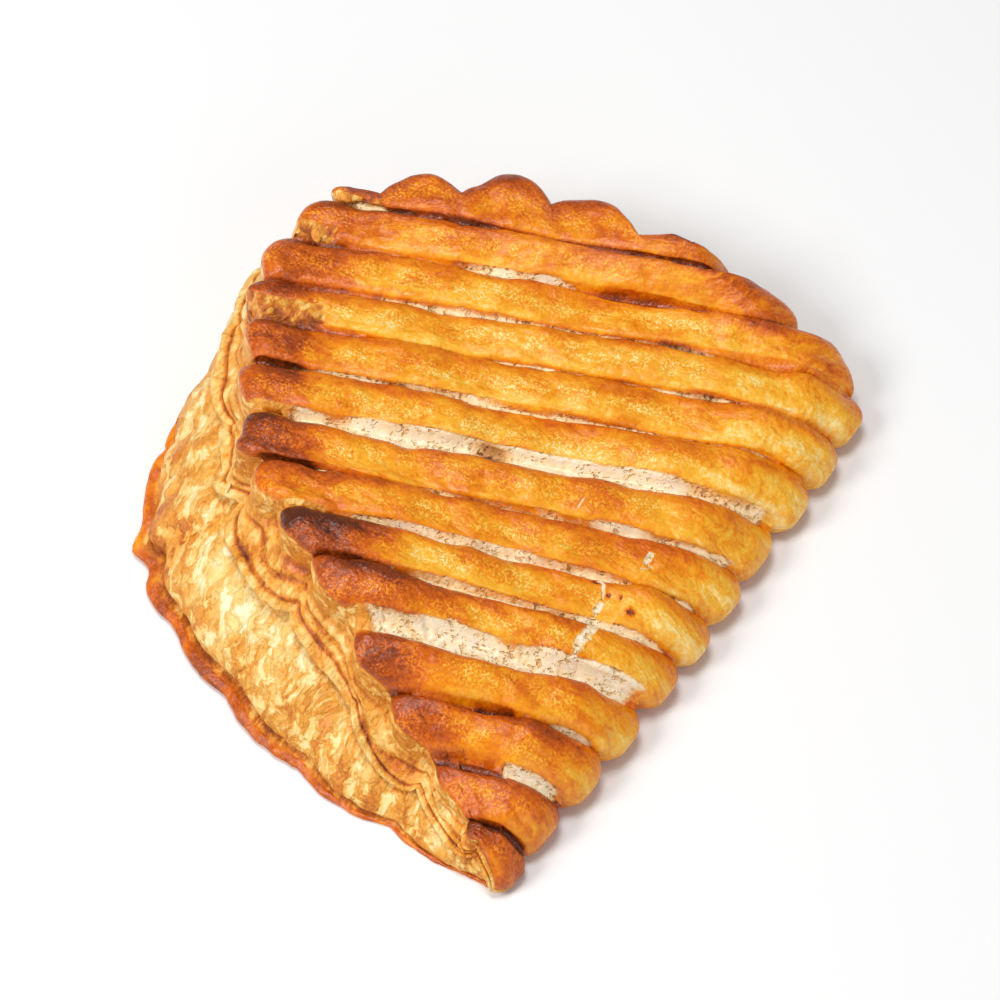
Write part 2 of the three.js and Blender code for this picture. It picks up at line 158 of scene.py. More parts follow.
@dataclass(frozen=True)
class Grain:
    """Seeded random fields over points in millimetres."""

    seed: int

    def lattice(self, cells_at: Array, layer: int = 0) -> Array:
        """Random number from 0 to 1 for each whole-number cell.

        Args:
            cells_at: Whole numbers of shape (..., 3).
            layer: Picks one of several independent numbers.

        Returns:
            Numbers of shape (...).
        """
        spread = cells_at.astype(np.int64).astype(np.uint64) * AXIS_PRIMES
        start = (self.seed * SEED_PRIME + layer * LAYER_PRIME + FIRST_SEED) * SPREAD_PRIME % SEED_LIMIT
        mix = spread[..., 0] ^ spread[..., 1] ^ spread[..., 2] ^ np.uint64(start)
        for shift, prime in MIX_ROUNDS:
            mix = (mix ^ (mix >> np.uint64(shift))) * np.uint64(prime)
        mix = mix ^ (mix >> LAST_SHIFT)
        return (mix & np.uint64(RANDOM_BITS)).astype(float) / float(RANDOM_BITS)

    def smooth(self, points: Array, size: Any) -> Array:
        """Smooth random field from 0 to 1.

        Args:
            points: Places of shape (..., 3).
            size: Size of a feature, one number or one for each axis.

        Returns:
            Field values of shape (...).
        """
        scaled = points / np.asarray(size, float)
        base = np.floor(scaled)
        part = scaled - base
        weight = part**3 * (part * (part * 6.0 - 15.0) + 10.0)
        total = np.zeros(points.shape[:-1])
        for corner in itertools.product((0, 1), repeat=3):
            share = np.prod(np.where(np.array(corner) == 1, weight, 1.0 - weight), axis=-1)
            total += share * self.lattice(base + np.array(corner))
        return total

    def rough(self, points: Array, size: Any, octaves: int) -> Array:
        """Sum of smooth fields of halving size, from about -1 to 1."""
        total = np.zeros(points.shape[:-1])
        reach = 0.0
        for octave in range(octaves):
            share = HALF**octave
            finer = Grain(self.seed + OCTAVE_SEEDS * octave)
            total += share * (2.0 * finer.smooth(points, np.asarray(size, float) * share) - 1.0)
            reach += share
        return total / reach * ROUGH_GAIN

    def pits(self, points: Array, size: float) -> Array:
        """Distance to the nearest of many scattered centres, as a share of their spacing."""
        scaled = points / size
        base = np.floor(scaled)
        nearest = np.full(points.shape[:-1], FAR_AWAY)
        for step in itertools.product((-1, 0, 1), repeat=3):
            cell = base + np.array(step)
            jitter = np.stack([self.lattice(cell, layer) for layer in (1, 2, 3)], axis=-1)
            nearest = np.minimum(nearest, np.linalg.norm(cell + jitter - scaled, axis=-1))
        return nearest


@dataclass(frozen=True)
class Texture:
    """A random field on the pastry: its strength, the size of its features, its octaves and its seed."""

    strength: float
    size: Any
    octaves: int
    seed: int = 7

    def over(self, points: Array) -> Array:
        """Values of the field at some points."""
        return self.strength * Grain(self.seed).rough(points, self.size, self.octaves)


@dataclass(frozen=True)
class Petal:
    """A lobe of the collar's lip: the share where it ends, the notch's reach there, its swell and skew."""

    end: float
    notch: float
    swell: float
    skew: float = 1.0


@dataclass
class SealedEdge:
    """The curved, crimped edge. A place on it is a share of its length from the fold's right end."""

    half_width: float = 69.0
    depth: float = 117.0
    squareness: float = 3.0
    centre_x: float = 3.0
    lean: float = 0.1
    swellings: tuple[Bump, ...] = (
        Bump(0.03, 0.1, 3.0), Bump(0.32, 0.14, -5.0), Bump(0.58, 0.12, -2.4), Bump(0.515, 0.04, -1.6),
        Bump(0.57, 0.05, 1.2), Bump(0.646, 0.022, 2.2), Bump(0.668, 0.016, -1.2), Bump(0.7, 0.025, 1.0),
        Bump(0.74, 0.1, -1.3), Bump(1.0, 0.16, -4.2),
    )
    rim_crimp_pitch: float = 0.06
    first_rim_crimp: float = 0.048
    foot_crimp_pitch: float = 0.07
    first_foot_crimp: float = 0.01
    overhang_grows: Step = Step(0.0, 0.1, 2.2)
    overhang_ends: Step = Step(0.24, 0.42)
    setback_grows: Step = Step(0.33, 0.66, 23.0)
    setback_ends: Step = Step(0.8, 1.02)
    corner_height: float = 12.0
    far_rim_rises: Step = Step(-0.02, 0.14, 12.0)
    left_rim_rises: Step = Step(0.2, 0.6, 8.2)
    rim_falls: Step = Step(0.78, 0.97)
    petals_start: float = 0.41
    first_notch: float = 4.0
    petals: tuple[Petal, ...] = (
        Petal(0.49, 6.0, 1.6), Petal(0.573, 0.9, 5.0), Petal(0.675, 2.1, 3.6, 0.5),
        Petal(0.784, 4.9, 5.0, 1.2), Petal(0.857, 2.1, 3.9), Petal(0.922, 0.2, 5.2, 0.85),
        Petal(0.985, 1.0, 1.0),
    )
    divisions: int = 1200
    normal_step: float = 0.004

    def __post_init__(self) -> None:
        """Measures the curve so that places can be stated as shares of its length."""
        self._turns = np.linspace(0.0, 1.0, self.divisions + 1)
        steps = np.linalg.norm(np.diff(self._at_turn(self._turns), axis=0), axis=1)
        self._lengths = np.concatenate([[0.0], np.cumsum(steps)])

    @property
    def length(self) -> float:
        """Length of the curve."""
        return float(self._lengths[-1])

    def _at_turn(self, turn: Array) -> Array:
        """Points of the superellipse, half a turn of it from right to left."""
        power = 2.0 / self.squareness
        cosine = np.cos(np.pi * turn)
        y = self.depth * np.abs(np.sin(np.pi * turn)) ** power
        x = self.centre_x + self.half_width * np.sign(cosine) * np.abs(cosine) ** power
        return np.stack([x + self.lean * y, y], axis=-1)

    def curve(self, share: Array) -> Array:
        """Points of the curve before its swellings."""
        reached = np.clip(share, 0.0, 1.0) * self.length
        return self._at_turn(np.interp(reached, self._lengths, self._turns))

    def normal(self, share: Array) -> Array:
        """Outward directions in plan."""
        along = unit(self.curve(share + self.normal_step) - self.curve(share - self.normal_step))
        return np.stack([along[..., 1], -along[..., 0]], axis=-1)

    def foot(self, share: Array) -> Array:
        """Points of the base's edge."""
        out = sum(swelling.over(share) for swelling in self.swellings)
        return self.curve(share) + self.normal(share) * out[..., None]

    def rim(self, share: Array) -> Array:
        """Points of the upper rim, overhanging on the far side and standing back on the left."""
        overhang = self.overhang_grows.up(share) * self.overhang_ends.down(share)
        setback = self.setback_grows.up(share) * self.setback_ends.down(share)
        return self.foot(share) - self.normal(share) * (setback - overhang)[..., None]

    def rim_height(self, share: Array) -> Array:
        """Height of the rim above the floor."""
        rise = self.far_rim_rises.up(share) + self.left_rim_rises.up(share)
        return self.corner_height + rise * self.rim_falls.down(share)

    def rim_lobe(self, share: Array) -> Array:
        """0 in a crimp of the rim, 1 on the lobe between two crimps."""
        return lobe((share - self.first_rim_crimp) / self.rim_crimp_pitch)

    def foot_lobe(self, share: Array) -> Array:
        """0 in a crimp of the foot, 1 on the lobe between two crimps."""
        return lobe((share - self.first_foot_crimp) / self.foot_crimp_pitch)

    def lip_reach(self, share: Array) -> Array:
        """How far out from the rim the collar's lip lies."""
        reach = np.full(share.shape, self.petals[-1].notch)
        start = self.petals_start
        notch = self.first_notch
        for petal in self.petals:
            part = np.clip((share - start) / (petal.end - start), 0.0, 1.0)
            arc = np.sqrt(np.clip(1.0 - (2.0 * part**petal.skew - 1.0) ** 2, 0.0, 1.0))
            inside = (share >= start) & (share < petal.end)
            reach = np.where(inside, lerp(notch, petal.notch, part) + petal.swell * arc, reach)
            start = petal.end
            notch = petal.notch
        return reach


@dataclass
class Rows:
    """The rows of the scored top: one entry for each place across the strips."""

    place: Array
    strip: Array
    across: Array
    left: Array
    right: Array
    left_share: Array
    right_share: Array
    on_fold: Array
    left_normal: Array
    right_normal: Array

    @property
    def length(self) -> Array:
        """Length of each row."""
        return np.linalg.norm(self.right - self.left, axis=1)

    @property
    def direction(self) -> Array:
        """Direction of each row, from its tip to its nose."""
        return unit(self.right - self.left)


@dataclass
class Scoring:
    """The slanting cuts and the strips between them, numbered from the far rim."""

    edge: SealedEdge
    angle: float = math.radians(26.5)
    pitch: float = 12.9
    first_x: float = 98.5
    strays: tuple[float, ...] = (0, 1.6, 2.2, 1.2, 2.6, 3.6, 3.3, 2.0, 2.4, 3.9, 4.1, 3.2, 2.8, 3.4, 0)
    openings: tuple[float, ...] = (0.3, 0.3, 0.9, 0.5, 0.5, 0.6, 2.8, 1.0, 1.0, 1.1, 4.4, 1.0, 3.0, 0.9, 0.3)
    opening_at_ends: float = 0.5
    depths: tuple[float, ...] = (
        1.0, 0.4, 0.45, 0.45, 0.45, 0.5, 0.8, 0.55, 0.6, 0.65, 0.95, 0.65, 0.85, 0.85, 1.0,
    )
    tip_strays: tuple[float, ...] = (
        0.0, 0.3, 0.8, 1.2, 0.7, -2.0, -1.0, -2.0, -1.1, -0.2, 0.4, -2.7, -4.3, -1.9,
    )
    right_ends_on_edge: tuple[float, ...] = (0.119, 0.104, 0.05)
    rim_strip_start: float = 0.375
    last_strip_end: float = 0.98
    fold_end: float = 0.006
    fold_takes_over: Step = Step(1.6, 3.4)
    fold_bow: float = 1.8
    fold_out: float = 0.85
    fold_bow_start: float = 2.5
    fold_normal: Span = (0.0, -1.0)
    search_steps: int = 40

    def __post_init__(self) -> None:
        """Works out both ends of every cut."""
        self.strips = len(self.strays) - 1
        inner = np.arange(1, self.strips)
        cut_x = self.first_x - self.pitch * (inner - 1) + np.array(self.strays)[1:-1]
        near = np.full(len(inner), self.rim_strip_start)
        far = np.ones(len(inner))
        normal = np.array([math.cos(self.angle), math.sin(self.angle)])
        for _ in range(self.search_steps):
            middle = (near + far) / 2.0
            beyond = self.edge.rim(middle) @ normal > normal[0] * cut_x
            near = np.where(beyond, middle, near)
            far = np.where(beyond, far, middle)
        self.left_shares = np.concatenate([[self.rim_strip_start], near, [self.last_strip_end]])
        on_fold = [self.fold_end] * (self.strips + 1 - len(self.right_ends_on_edge))
        self.right_shares = np.array([*self.right_ends_on_edge, *on_fold])
        end_x = float(self.edge.foot(np.array([1.0]))[0, 0])
        self.fold_x = np.concatenate([[cut_x[0] + self.pitch], cut_x, [end_x]])

    @property
    def width(self) -> float:
        """Width of a strip, square to the cuts."""
        return self.pitch * math.cos(self.angle)

    def rows(self, place: Array) -> Rows:
        """Rows of the top.

        Args:
            place: For each row, the strip's number plus the share of its width.

        Returns:
            The rows' ends and directions.
        """
        strip = np.minimum(np.floor(place).astype(int), self.strips - 1)
        across = place - strip
        left_share = lerp(self.left_shares[strip], self.left_shares[strip + 1], across)
        right_share = lerp(self.right_shares[strip], self.right_shares[strip + 1], across)
        on_fold = self.fold_takes_over.up(place)
        bow_turn = (place - self.fold_bow_start) / (self.strips - self.fold_bow_start)
        bow = self.fold_out + self.fold_bow * np.sin(np.pi * bow_turn)
        fold_x = lerp(self.fold_x[strip], self.fold_x[strip + 1], across) + bow * math.tan(self.angle)
        corner_x = float(self.edge.foot(np.array([0.0]))[0, 0])
        folded = np.stack([np.minimum(corner_x, fold_x), -bow], axis=-1)
        ends_on_edge = strip < len(self.right_ends_on_edge)
        stray = np.interp(place, np.arange(self.strips) + HALF, np.array(self.tip_strays))[:, None]
        right_normal = lerp(self.edge.normal(right_share), np.array(self.fold_normal), on_fold[:, None])
        return Rows(
            place=place,
            strip=strip,
            across=across,
            left=self.edge.rim(left_share) + self.edge.normal(left_share) * stray,
            right=np.where(ends_on_edge[:, None], self.edge.rim(right_share), folded),
            left_share=left_share,
            right_share=right_share,
            on_fold=on_fold,
            left_normal=self.edge.normal(left_share),
            right_normal=unit(right_normal),
        )


class Skin(Enum):
    """Surface attributes that the crust's finish reads."""

    # Browning, with painted shade in cuts and recesses and a painted highlight band mixed in
    BAKE = "bake"
    GLAZE = "glaze"
    CRUMB = "crumb"
    # Real pits in the crumb, and painted shade in narrow and gaping cuts
    PORES_AND_SHADE = "pores_and_shade"
    FLAKY = "flaky"
    # Crests of the ridges, where glints are painted as highlights
    HIGHLIGHT_CREST = "highlight_crest"
    RIBBED = "ribbed"


@dataclass
class Surface:
    """Part of the surface: places on the sheet, relief and attributes, which are 0 where left out."""

    sheet: Array
    lift: Array
    fields: dict[Skin, Array]

    def field(self, skin: Skin) -> Array:
        """One attribute, in a row."""
        return self.fields.get(skin, np.zeros_like(self.lift)).ravel()


@dataclass
class Top:
    """The scored top: points, and at each its place between the cuts, along its row, and its turn."""

    points: Array
    across: Array
    along: Array
    turn: Array


@dataclass
class Outline:
    """The top's outline, anticlockwise from the far end of the first strip.

    Each point has its row and column, its share of the sealed edge, how sealed it is, its outward
    direction in plan and the x of the foot of a folded edge.
    """

    row: Array
    column: Array
    share: Array
    sealed: Array
    normal: Array
    fold_x: Array


@dataclass(frozen=True)
class Browning:
    """How brown a strip is: in general, at its tip over a share of its length, and at its nose."""

    level: float
    tip: float
    tip_reach: float
    nose: float


@dataclass(frozen=True)
class Crumb:
    """Bare crumb of a cut: the shares of its length where it begins and ends, its width at tip and nose."""

    begins: float
    ends: float
    at_tip: float
    at_nose: float


@dataclass(frozen=True)
class Crack:
    """A pale crack in a strip's glaze along a line of places: share of the length, share of the width."""

    strip: int
    width: float
    line: tuple[Span, ...]


@dataclass(frozen=True)
class Speck:
    """A burnt speck on a strip, at a share of its length and of its width."""

    strip: int
    along: float
    across: float
    radius: float


@dataclass(frozen=True)
class Slit:
    """A stretch of a cut that gapes, with painted shade in it, between two shares of its length."""

    cut: int
    begins: float
    ends: float
    # How much painted shade the stretch gets
    dark: float
    spread: float = 0.8


@dataclass(frozen=True)
class TornPatch:
    """Near part of a strip's tip where the glaze is torn off the crumb."""

    strip: int
    across: float
    reach: float


@dataclass
class TopSkin:
    """Relief and browning of the scored top, with painted shade in the cuts and painted highlights on the
    ridges.
    """

    scoring: Scoring
    browning: tuple[Browning, ...] = (
        Browning(0.56, 0.12, 0.3, 0.1), Browning(0.42, 0.26, 0.2, 0.22),
        Browning(0.35, 0.35, 0.2, 0.18), Browning(0.31, 0.41, 0.14, -0.03),
        Browning(0.36, 0.35, 0.15, -0.06), Browning(0.36, 0.34, 0.12, -0.12),
        Browning(0.43, 0.42, 0.15, -0.14), Browning(0.44, 0.17, 0.16, -0.14),
        Browning(0.38, 0.53, 0.26, -0.1), Browning(0.43, 0.26, 0.38, -0.13),
        Browning(0.45, 0.34, 0.24, -0.14), Browning(0.52, 0.17, 0.3, -0.14),
        Browning(0.54, 0.08, 0.4, -0.04), Browning(0.63, 0.1, 0.5, 0.04),
    )
    crumbs: tuple[Crumb, ...] = (
        Crumb(2.0, 2.1, 0.0, 0.0), Crumb(-0.2, 0.14, 0.6, 0.0), Crumb(0.33, 0.55, 0.5, 0.5),
        Crumb(0.21, 0.75, 0.5, -0.2), Crumb(0.22, 0.86, 0.0, -0.2), Crumb(0.08, 0.94, 1.0, -0.4),
        Crumb(0.08, 1.2, 0.9, 1.2), Crumb(0.11, 1.2, -0.2, 0.9), Crumb(0.17, 1.2, 0.45, 0.45),
        Crumb(0.13, 1.2, 0.25, 0.45), Crumb(0.07, 1.2, 1.1, 1.5), Crumb(0.62, 1.2, 0.6, 0.9),
        Crumb(0.57, 1.2, 0.5, 1.4), Crumb(2.0, 2.1, 0.3, 0.3), Crumb(2.0, 2.1, 0.0, 0.0),
    )
    crumb_wander: Texture = Texture(0.02, 5.0, 2)
    crumb_end: Step = Step(-0.04, 0.04)
    crumb_at_nose: Step = Step(0.9, 1.3)
    crumb_at_tip: Step = Step(0.5, 1.1)
    jag: Texture = Texture(1.0, 9.0, 2, 43)
    jag_of_width: float = 0.5
    least_jag: float = 0.12
    near_flank: Step = Step(-0.9, 0.4)
    far_flank: Step = Step(0.0, 0.2)
    # Darker beside the cuts
    valley_darker: Step = Step(0.0, 0.5, 0.16)
    bare_cut_tips: tuple[int, ...] = (6, 8, 10)
    bare_tip_width: Step = Step(0.5, 1.3)
    bare_tip_length: Step = Step(0.06, 0.16)
    bare_tip_bake: float = 0.45

    # Stretches of the cuts that are grooved deeper and darkened with painted shade
    slits: tuple[Slit, ...] = (
        Slit(1, 0.14, 1.2, 0.22), Slit(2, 0.6, 1.2, 0.2), Slit(3, 0.67, 0.735, 0.2),
        Slit(4, 0.755, 0.8, 0.2), Slit(5, -0.2, 0.09, 0.4), Slit(6, 0.43, 0.49, 0.3, 2.0),
        Slit(7, -0.2, 0.11, 0.36), Slit(9, 0.02, 0.13, 0.36), Slit(11, 0.42, 0.6, 0.3),
        Slit(12, 0.22, 0.54, 0.3), Slit(13, -0.2, 1.0, 0.4),
    )
    slit_end: float = 0.02
    slit_edge: float = 0.5
    slit_jag: float = 0.25
    slit_depth: float = 1.5

    cracks: tuple[Crack, ...] = (
        Crack(6, 0.35, ((0.668, 0.5), (0.664, 0.95))),
        Crack(7, 0.8, ((0.838, 0.36), (0.836, 0.56))),
        Crack(7, 0.45, ((0.836, 0.7), (0.852, 0.66))),
        Crack(8, 0.5, ((0.745, 0.0), (0.766, 0.18), (0.779, 0.5), (0.774, 0.92))),
        Crack(8, 1.1, ((0.777, 0.6), (0.77, 0.95))),
        Crack(9, 1.3, ((0.784, 0.08), (0.768, 0.5), (0.752, 1.0))),
    )
    crack_jag: Texture = Texture(0.5, 1.8, 2, 23)
    crack_edge: Step = Step(0.4, 1.2)
    crack_clear_of_pores: Step = Step(1.1, 1.9, 0.5)
    crack_lift: float = 0.1
    crack_bake: float = 0.2
    crack_bare: float = 0.5
    crack_crumb: float = 0.62

    specks: tuple[Speck, ...] = (
        Speck(8, 0.747, 0.14, 0.75), Speck(8, 0.788, 0.42, 0.55), Speck(8, 0.82, 0.43, 0.35),
        Speck(8, 0.846, 0.64, 0.75), Speck(6, 0.2, 0.55, 0.35), Speck(1, 0.33, 0.1, 0.4),
    )
    speck_edge: Step = Step(0.6, 1.4)
    speck_bake: float = 0.75
    speck_depth: float = 0.25

    torn_patches: tuple[TornPatch, ...] = (
        TornPatch(0, 0.55, 0.14), TornPatch(1, 0.6, 0.11), TornPatch(3, 0.45, 0.12),
    )
    torn_wander: Texture = Texture(0.02, 3.0, 2)
    torn_side: float = 0.1
    torn_end: float = 0.02
    torn_flaking: Texture = Texture(1.0, 2.4, 3, 17)
    torn_relief: float = 0.5
    torn_bake: float = 0.6
    torn_contrast: float = 0.35
    torn_bare: float = 0.85
    torn_flakes: float = 0.5

    bake_patches: Texture = Texture(0.05, 9.0, 3)
    tip_wander: Texture = Texture(0.04, 6.0, 3)
    tip_fades: Step = Step(0.35, 1.25)
    nose_browns: Step = Step(0.8, 0.99)
    # Darker along each strip's far flank
    far_flank_darker: Step = Step(0.1, 0.42, 0.16)
    # Painted highlight: a paler band on each strip's near flank
    near_flank_painted_highlight: Step = Step(0.35, 0.6, 0.07)
    under_tip: Step = Step(0.85, 1.05)
    under_tip_bake: float = 0.42
    crest_begins: Step = Step(0.2, 0.42)
    crest_ends: Step = Step(0.62, 0.88)
    crest_less_at_nose: Step = Step(0.74, 0.9, 0.7)
    ribs_begin: Step = Step(0.78, 0.9)

    lumps: Texture = Texture(0.55, 9.0, 2)
    blisters: Texture = Texture(0.18, (4.5, 3.0, 3.0), 2, 3)
    wrinkles: Texture = Texture(0.1, (3.0, 9.0, 9.0), 2, 19)
    wrinkles_end: Step = Step(0.6, 1.6)
    crumb_layers: Texture = Texture(0.2, (4.0, 0.9, 1.0), 2, 5)
    pits: Grain = Grain(13)
    pit_spacing: float = 1.7
    pit_reach: float = 0.5
    smooth_below: Step = Step(1.2, 1.6)
    pit_pores: float = 0.6
    # Painted shade: the crumb of narrow cuts is darker
    narrow_cut_shade: Step = Step(0.2, 1.0, 0.5)
    # Painted shade that gaping cuts put on the crumb
    slit_shade: float = 6.0
    most_pores: float = 2.2
    crumb_flakes: float = 0.04

    def torn(self, rows: Rows, points: Array, along: Array) -> Array:
        """Where the glaze is torn off the tips, from 0 to 1."""
        torn = np.zeros_like(along)
        ragged = along + self.torn_wander.over(points)
        for patch in self.torn_patches:
            inside = Step(patch.across, patch.across + self.torn_side).up(rows.across)
            inside = (inside * (rows.strip == patch.strip))[:, None]
            torn = np.maximum(torn, inside * Step(patch.reach - self.torn_end, patch.reach).down(ragged))
        return torn

    def cracked(self, rows: Rows, points: Array, along: Array) -> Array:
        """How far places are from the cracks across the strips, as a share of the cracks' own reach."""
        nearest = np.full(along.shape, FAR_AWAY)
        jag = self.crack_jag.over(points)
        size = np.stack([rows.length, np.full(len(rows.length), self.scoring.width)], axis=-1)[:, None, :]
        place = np.stack([along, np.broadcast_to(rows.across[:, None], along.shape)], axis=-1)
        for crack in self.cracks:
            on_strip = (rows.strip == crack.strip)[:, None]
            for begin, finish in itertools.pairwise(crack.line):
                start = (place - np.array(begin)) * size
                run = (np.array(finish) - np.array(begin)) * size
                part = np.clip((start * run).sum(-1) / (run * run).sum(-1), 0.0, 1.0)
                away = np.linalg.norm(start - run * part[..., None], axis=-1) / crack.width + jag
                nearest = np.minimum(nearest, np.where(on_strip, away, FAR_AWAY))
        return nearest

    def burnt(self, rows: Rows, along: Array) -> Array:
        """Where burnt specks are, from 0 to 1."""
        burnt = np.zeros_like(along)
        for speck in self.specks:
            across = (rows.across[:, None] - speck.across) * self.scoring.width
            away = np.hypot((along - speck.along) * rows.length[:, None], across) / speck.radius
            burnt = np.maximum(burnt, (rows.strip == speck.strip)[:, None] * self.speck_edge.down(away))
        return burnt

    def gaping(self, cut: Array, along: Array, off: Array) -> Array:
        """How far the cuts gape, and so how much painted shade they get, at places along them and off their
        middle.
        """
        dark = np.zeros_like(along)
        for slit in self.slits:
            inside = Step(slit.begins - self.slit_end, slit.begins + self.slit_end, slit.dark).up(along)
            inside = inside * Step(slit.ends - self.slit_end, slit.ends + self.slit_end).down(along)
            inside = inside * Step(slit.spread - self.slit_edge, slit.spread).down(off)
            dark = np.maximum(dark, np.where(cut == slit.cut, inside, 0.0))
        return dark

    def dress(self, rows: Rows, form: Top) -> Surface:
        """Relief and browning at every point of the top, with painted shade and highlights.

        Args:
            rows: Rows across the strips.
            form: The top's form.

        Returns:
            The surface, with its relief not yet applied.
        """
        points, along, turn = form.points, form.along, form.turn
        strip = rows.strip[:, None]
        across = rows.across[:, None]
        width = self.scoring.width
        near = across > HALF
        cut = np.broadcast_to(np.where(near, strip + 1, strip), along.shape)
        inner = (cut > 0) & (cut < self.scoring.strips)
        off = np.broadcast_to(rows.place[:, None] * width, along.shape)
        sheet = np.stack([along * rows.length[:, None], off], axis=-1)
        streaks = np.concatenate([sheet, np.zeros_like(along)[..., None]], axis=-1)

        begins, ends, at_tip, at_nose = np.moveaxis(table(self.crumbs)[cut], -1, 0)
        wander = along + self.crumb_wander.over(points)
        shows = self.crumb_end.up(wander - begins) * self.crumb_end.down(wander - ends) * inner
        shows = shows * self.crumb_at_nose.down(turn) * self.crumb_at_tip.down(-turn)
        jag = self.jag.over(streaks)
        crumb_width = lerp(at_tip, at_nose, along) * (1.0 + self.jag_of_width * jag) + self.least_jag * jag
        from_cut = (1.0 - np.abs(form.across)) * width / 2.0
        flank = np.where(near, self.near_flank.down(from_cut - crumb_width), self.far_flank.down(from_cut))
        crumb = flank * shows
        from_middle = np.minimum(across, 1.0 - across) * width
        gape = self.gaping(cut, along, from_middle + self.slit_jag * jag)

        torn = self.torn(rows, points, along)
        from_crack = self.cracked(rows, points, along)
        crack = self.crack_edge.down(from_crack)
        burnt = self.burnt(rows, along)
        under_tip = self.under_tip.up(-turn)
        bare_tip = np.isin(cut, self.bare_cut_tips) * self.bare_tip_width.down(from_cut)
        bare_tip = bare_tip * self.bare_tip_length.down(along)
        flaking = self.torn_flaking.over(points)

        level, tip, tip_reach, nose = np.moveaxis(table(self.browning)[strip], -1, 0)
        tip_edge = (along + self.tip_wander.over(points)) / tip_reach
        bake = level + self.bake_patches.over(points) + tip * self.tip_fades.down(tip_edge)
        bake = bake + nose * self.nose_browns.up(along) + self.far_flank_darker.down(across)
        # The near flank is made paler as a painted highlight
        bake = bake - self.near_flank_painted_highlight.up(across) + self.valley_darker.down(from_cut) * inner
        # Gaping cuts add painted shade to the browning
        bake = bake + gape + self.speck_bake * burnt
        bake = lerp(bake, self.under_tip_bake, under_tip)
        bake = lerp(bake, self.bare_tip_bake, bare_tip)
        bake = lerp(bake, self.torn_bake - self.torn_contrast * flaking, torn)
        bake = lerp(bake, self.crack_bake, crack)

        smooth = self.lumps.over(points) + self.blisters.over(streaks)
        smooth = smooth + self.wrinkles.over(streaks) * self.wrinkles_end.down(tip_edge)
        pits = np.clip(self.pit_reach - self.pits.pits(points, self.pit_spacing), 0.0, 1.0)
        lift = lerp(smooth, self.crumb_layers.over(streaks) - pits, crumb)
        lift = lift - self.slit_depth * gape + self.crack_lift * crack - self.speck_depth * burnt
        lift = lift + torn * self.torn_relief * (flaking - 1.0)
        lift = lift * self.smooth_below.down(np.abs(turn))

        # Crest of each ridge, where the finish paints glints as highlights
        highlight_crest = self.crest_begins.up(across) * self.crest_ends.down(across)
        highlight_crest = highlight_crest * (1.0 - self.crest_less_at_nose.up(along))
        bare = np.maximum.reduce([torn * self.torn_bare, self.crack_bare * crack, under_tip, bare_tip])
        # Real pits, and painted shade in narrow and gaping cuts, darken the crumb
        pores = crumb * (self.pit_pores * pits + self.narrow_cut_shade.down(crumb_width))
        pores = np.clip(pores + self.slit_shade * gape, 0.0, self.most_pores)
        clear = self.crack_clear_of_pores.down(from_crack) * (1.0 - crumb)
        fields = {
            Skin.BAKE: np.clip(bake, 0.0, 1.0),
            Skin.GLAZE: np.clip(1.0 - bare, 0.0, 1.0),
            Skin.CRUMB: np.clip(np.maximum(crumb, self.crack_crumb * crack), 0.0, 1.0),
            Skin.PORES_AND_SHADE: pores - clear,
            Skin.FLAKY: np.clip(self.torn_flakes * torn + self.crumb_flakes * crumb, 0.0, 1.0),
            Skin.HIGHLIGHT_CREST: highlight_crest * (1.0 - crumb) * (1.0 - torn) * (1.0 - under_tip),
            Skin.RIBBED: self.ribs_begin.up(along) * (1.0 - crumb),
        }
        return Surface(sheet, lift, fields)


@dataclass(frozen=True)
class WallLine:
    """A line round the side wall at one of its steps: its reach, its change of tone, its relief and how it
    wanders.
    """

    step: float
    reach: float
    bake: float
    lift: float = 0.0
    wander: Texture = Texture(0.0, 1.0, 1)

    def over(self, step: Array) -> Array:
        """How near places are to the line, from 0 to 1."""
        return Bump(self.step, self.reach).over(step)


@dataclass(frozen=True)
class WallPatch:
    """A rounded patch of the side wall: where it lies, how far it reaches, and what it changes."""

    share: float
    step: float
    share_reach: float
    step_reach: float
    bake: float
    lift: float = 0.0
    glaze: float = 0.0


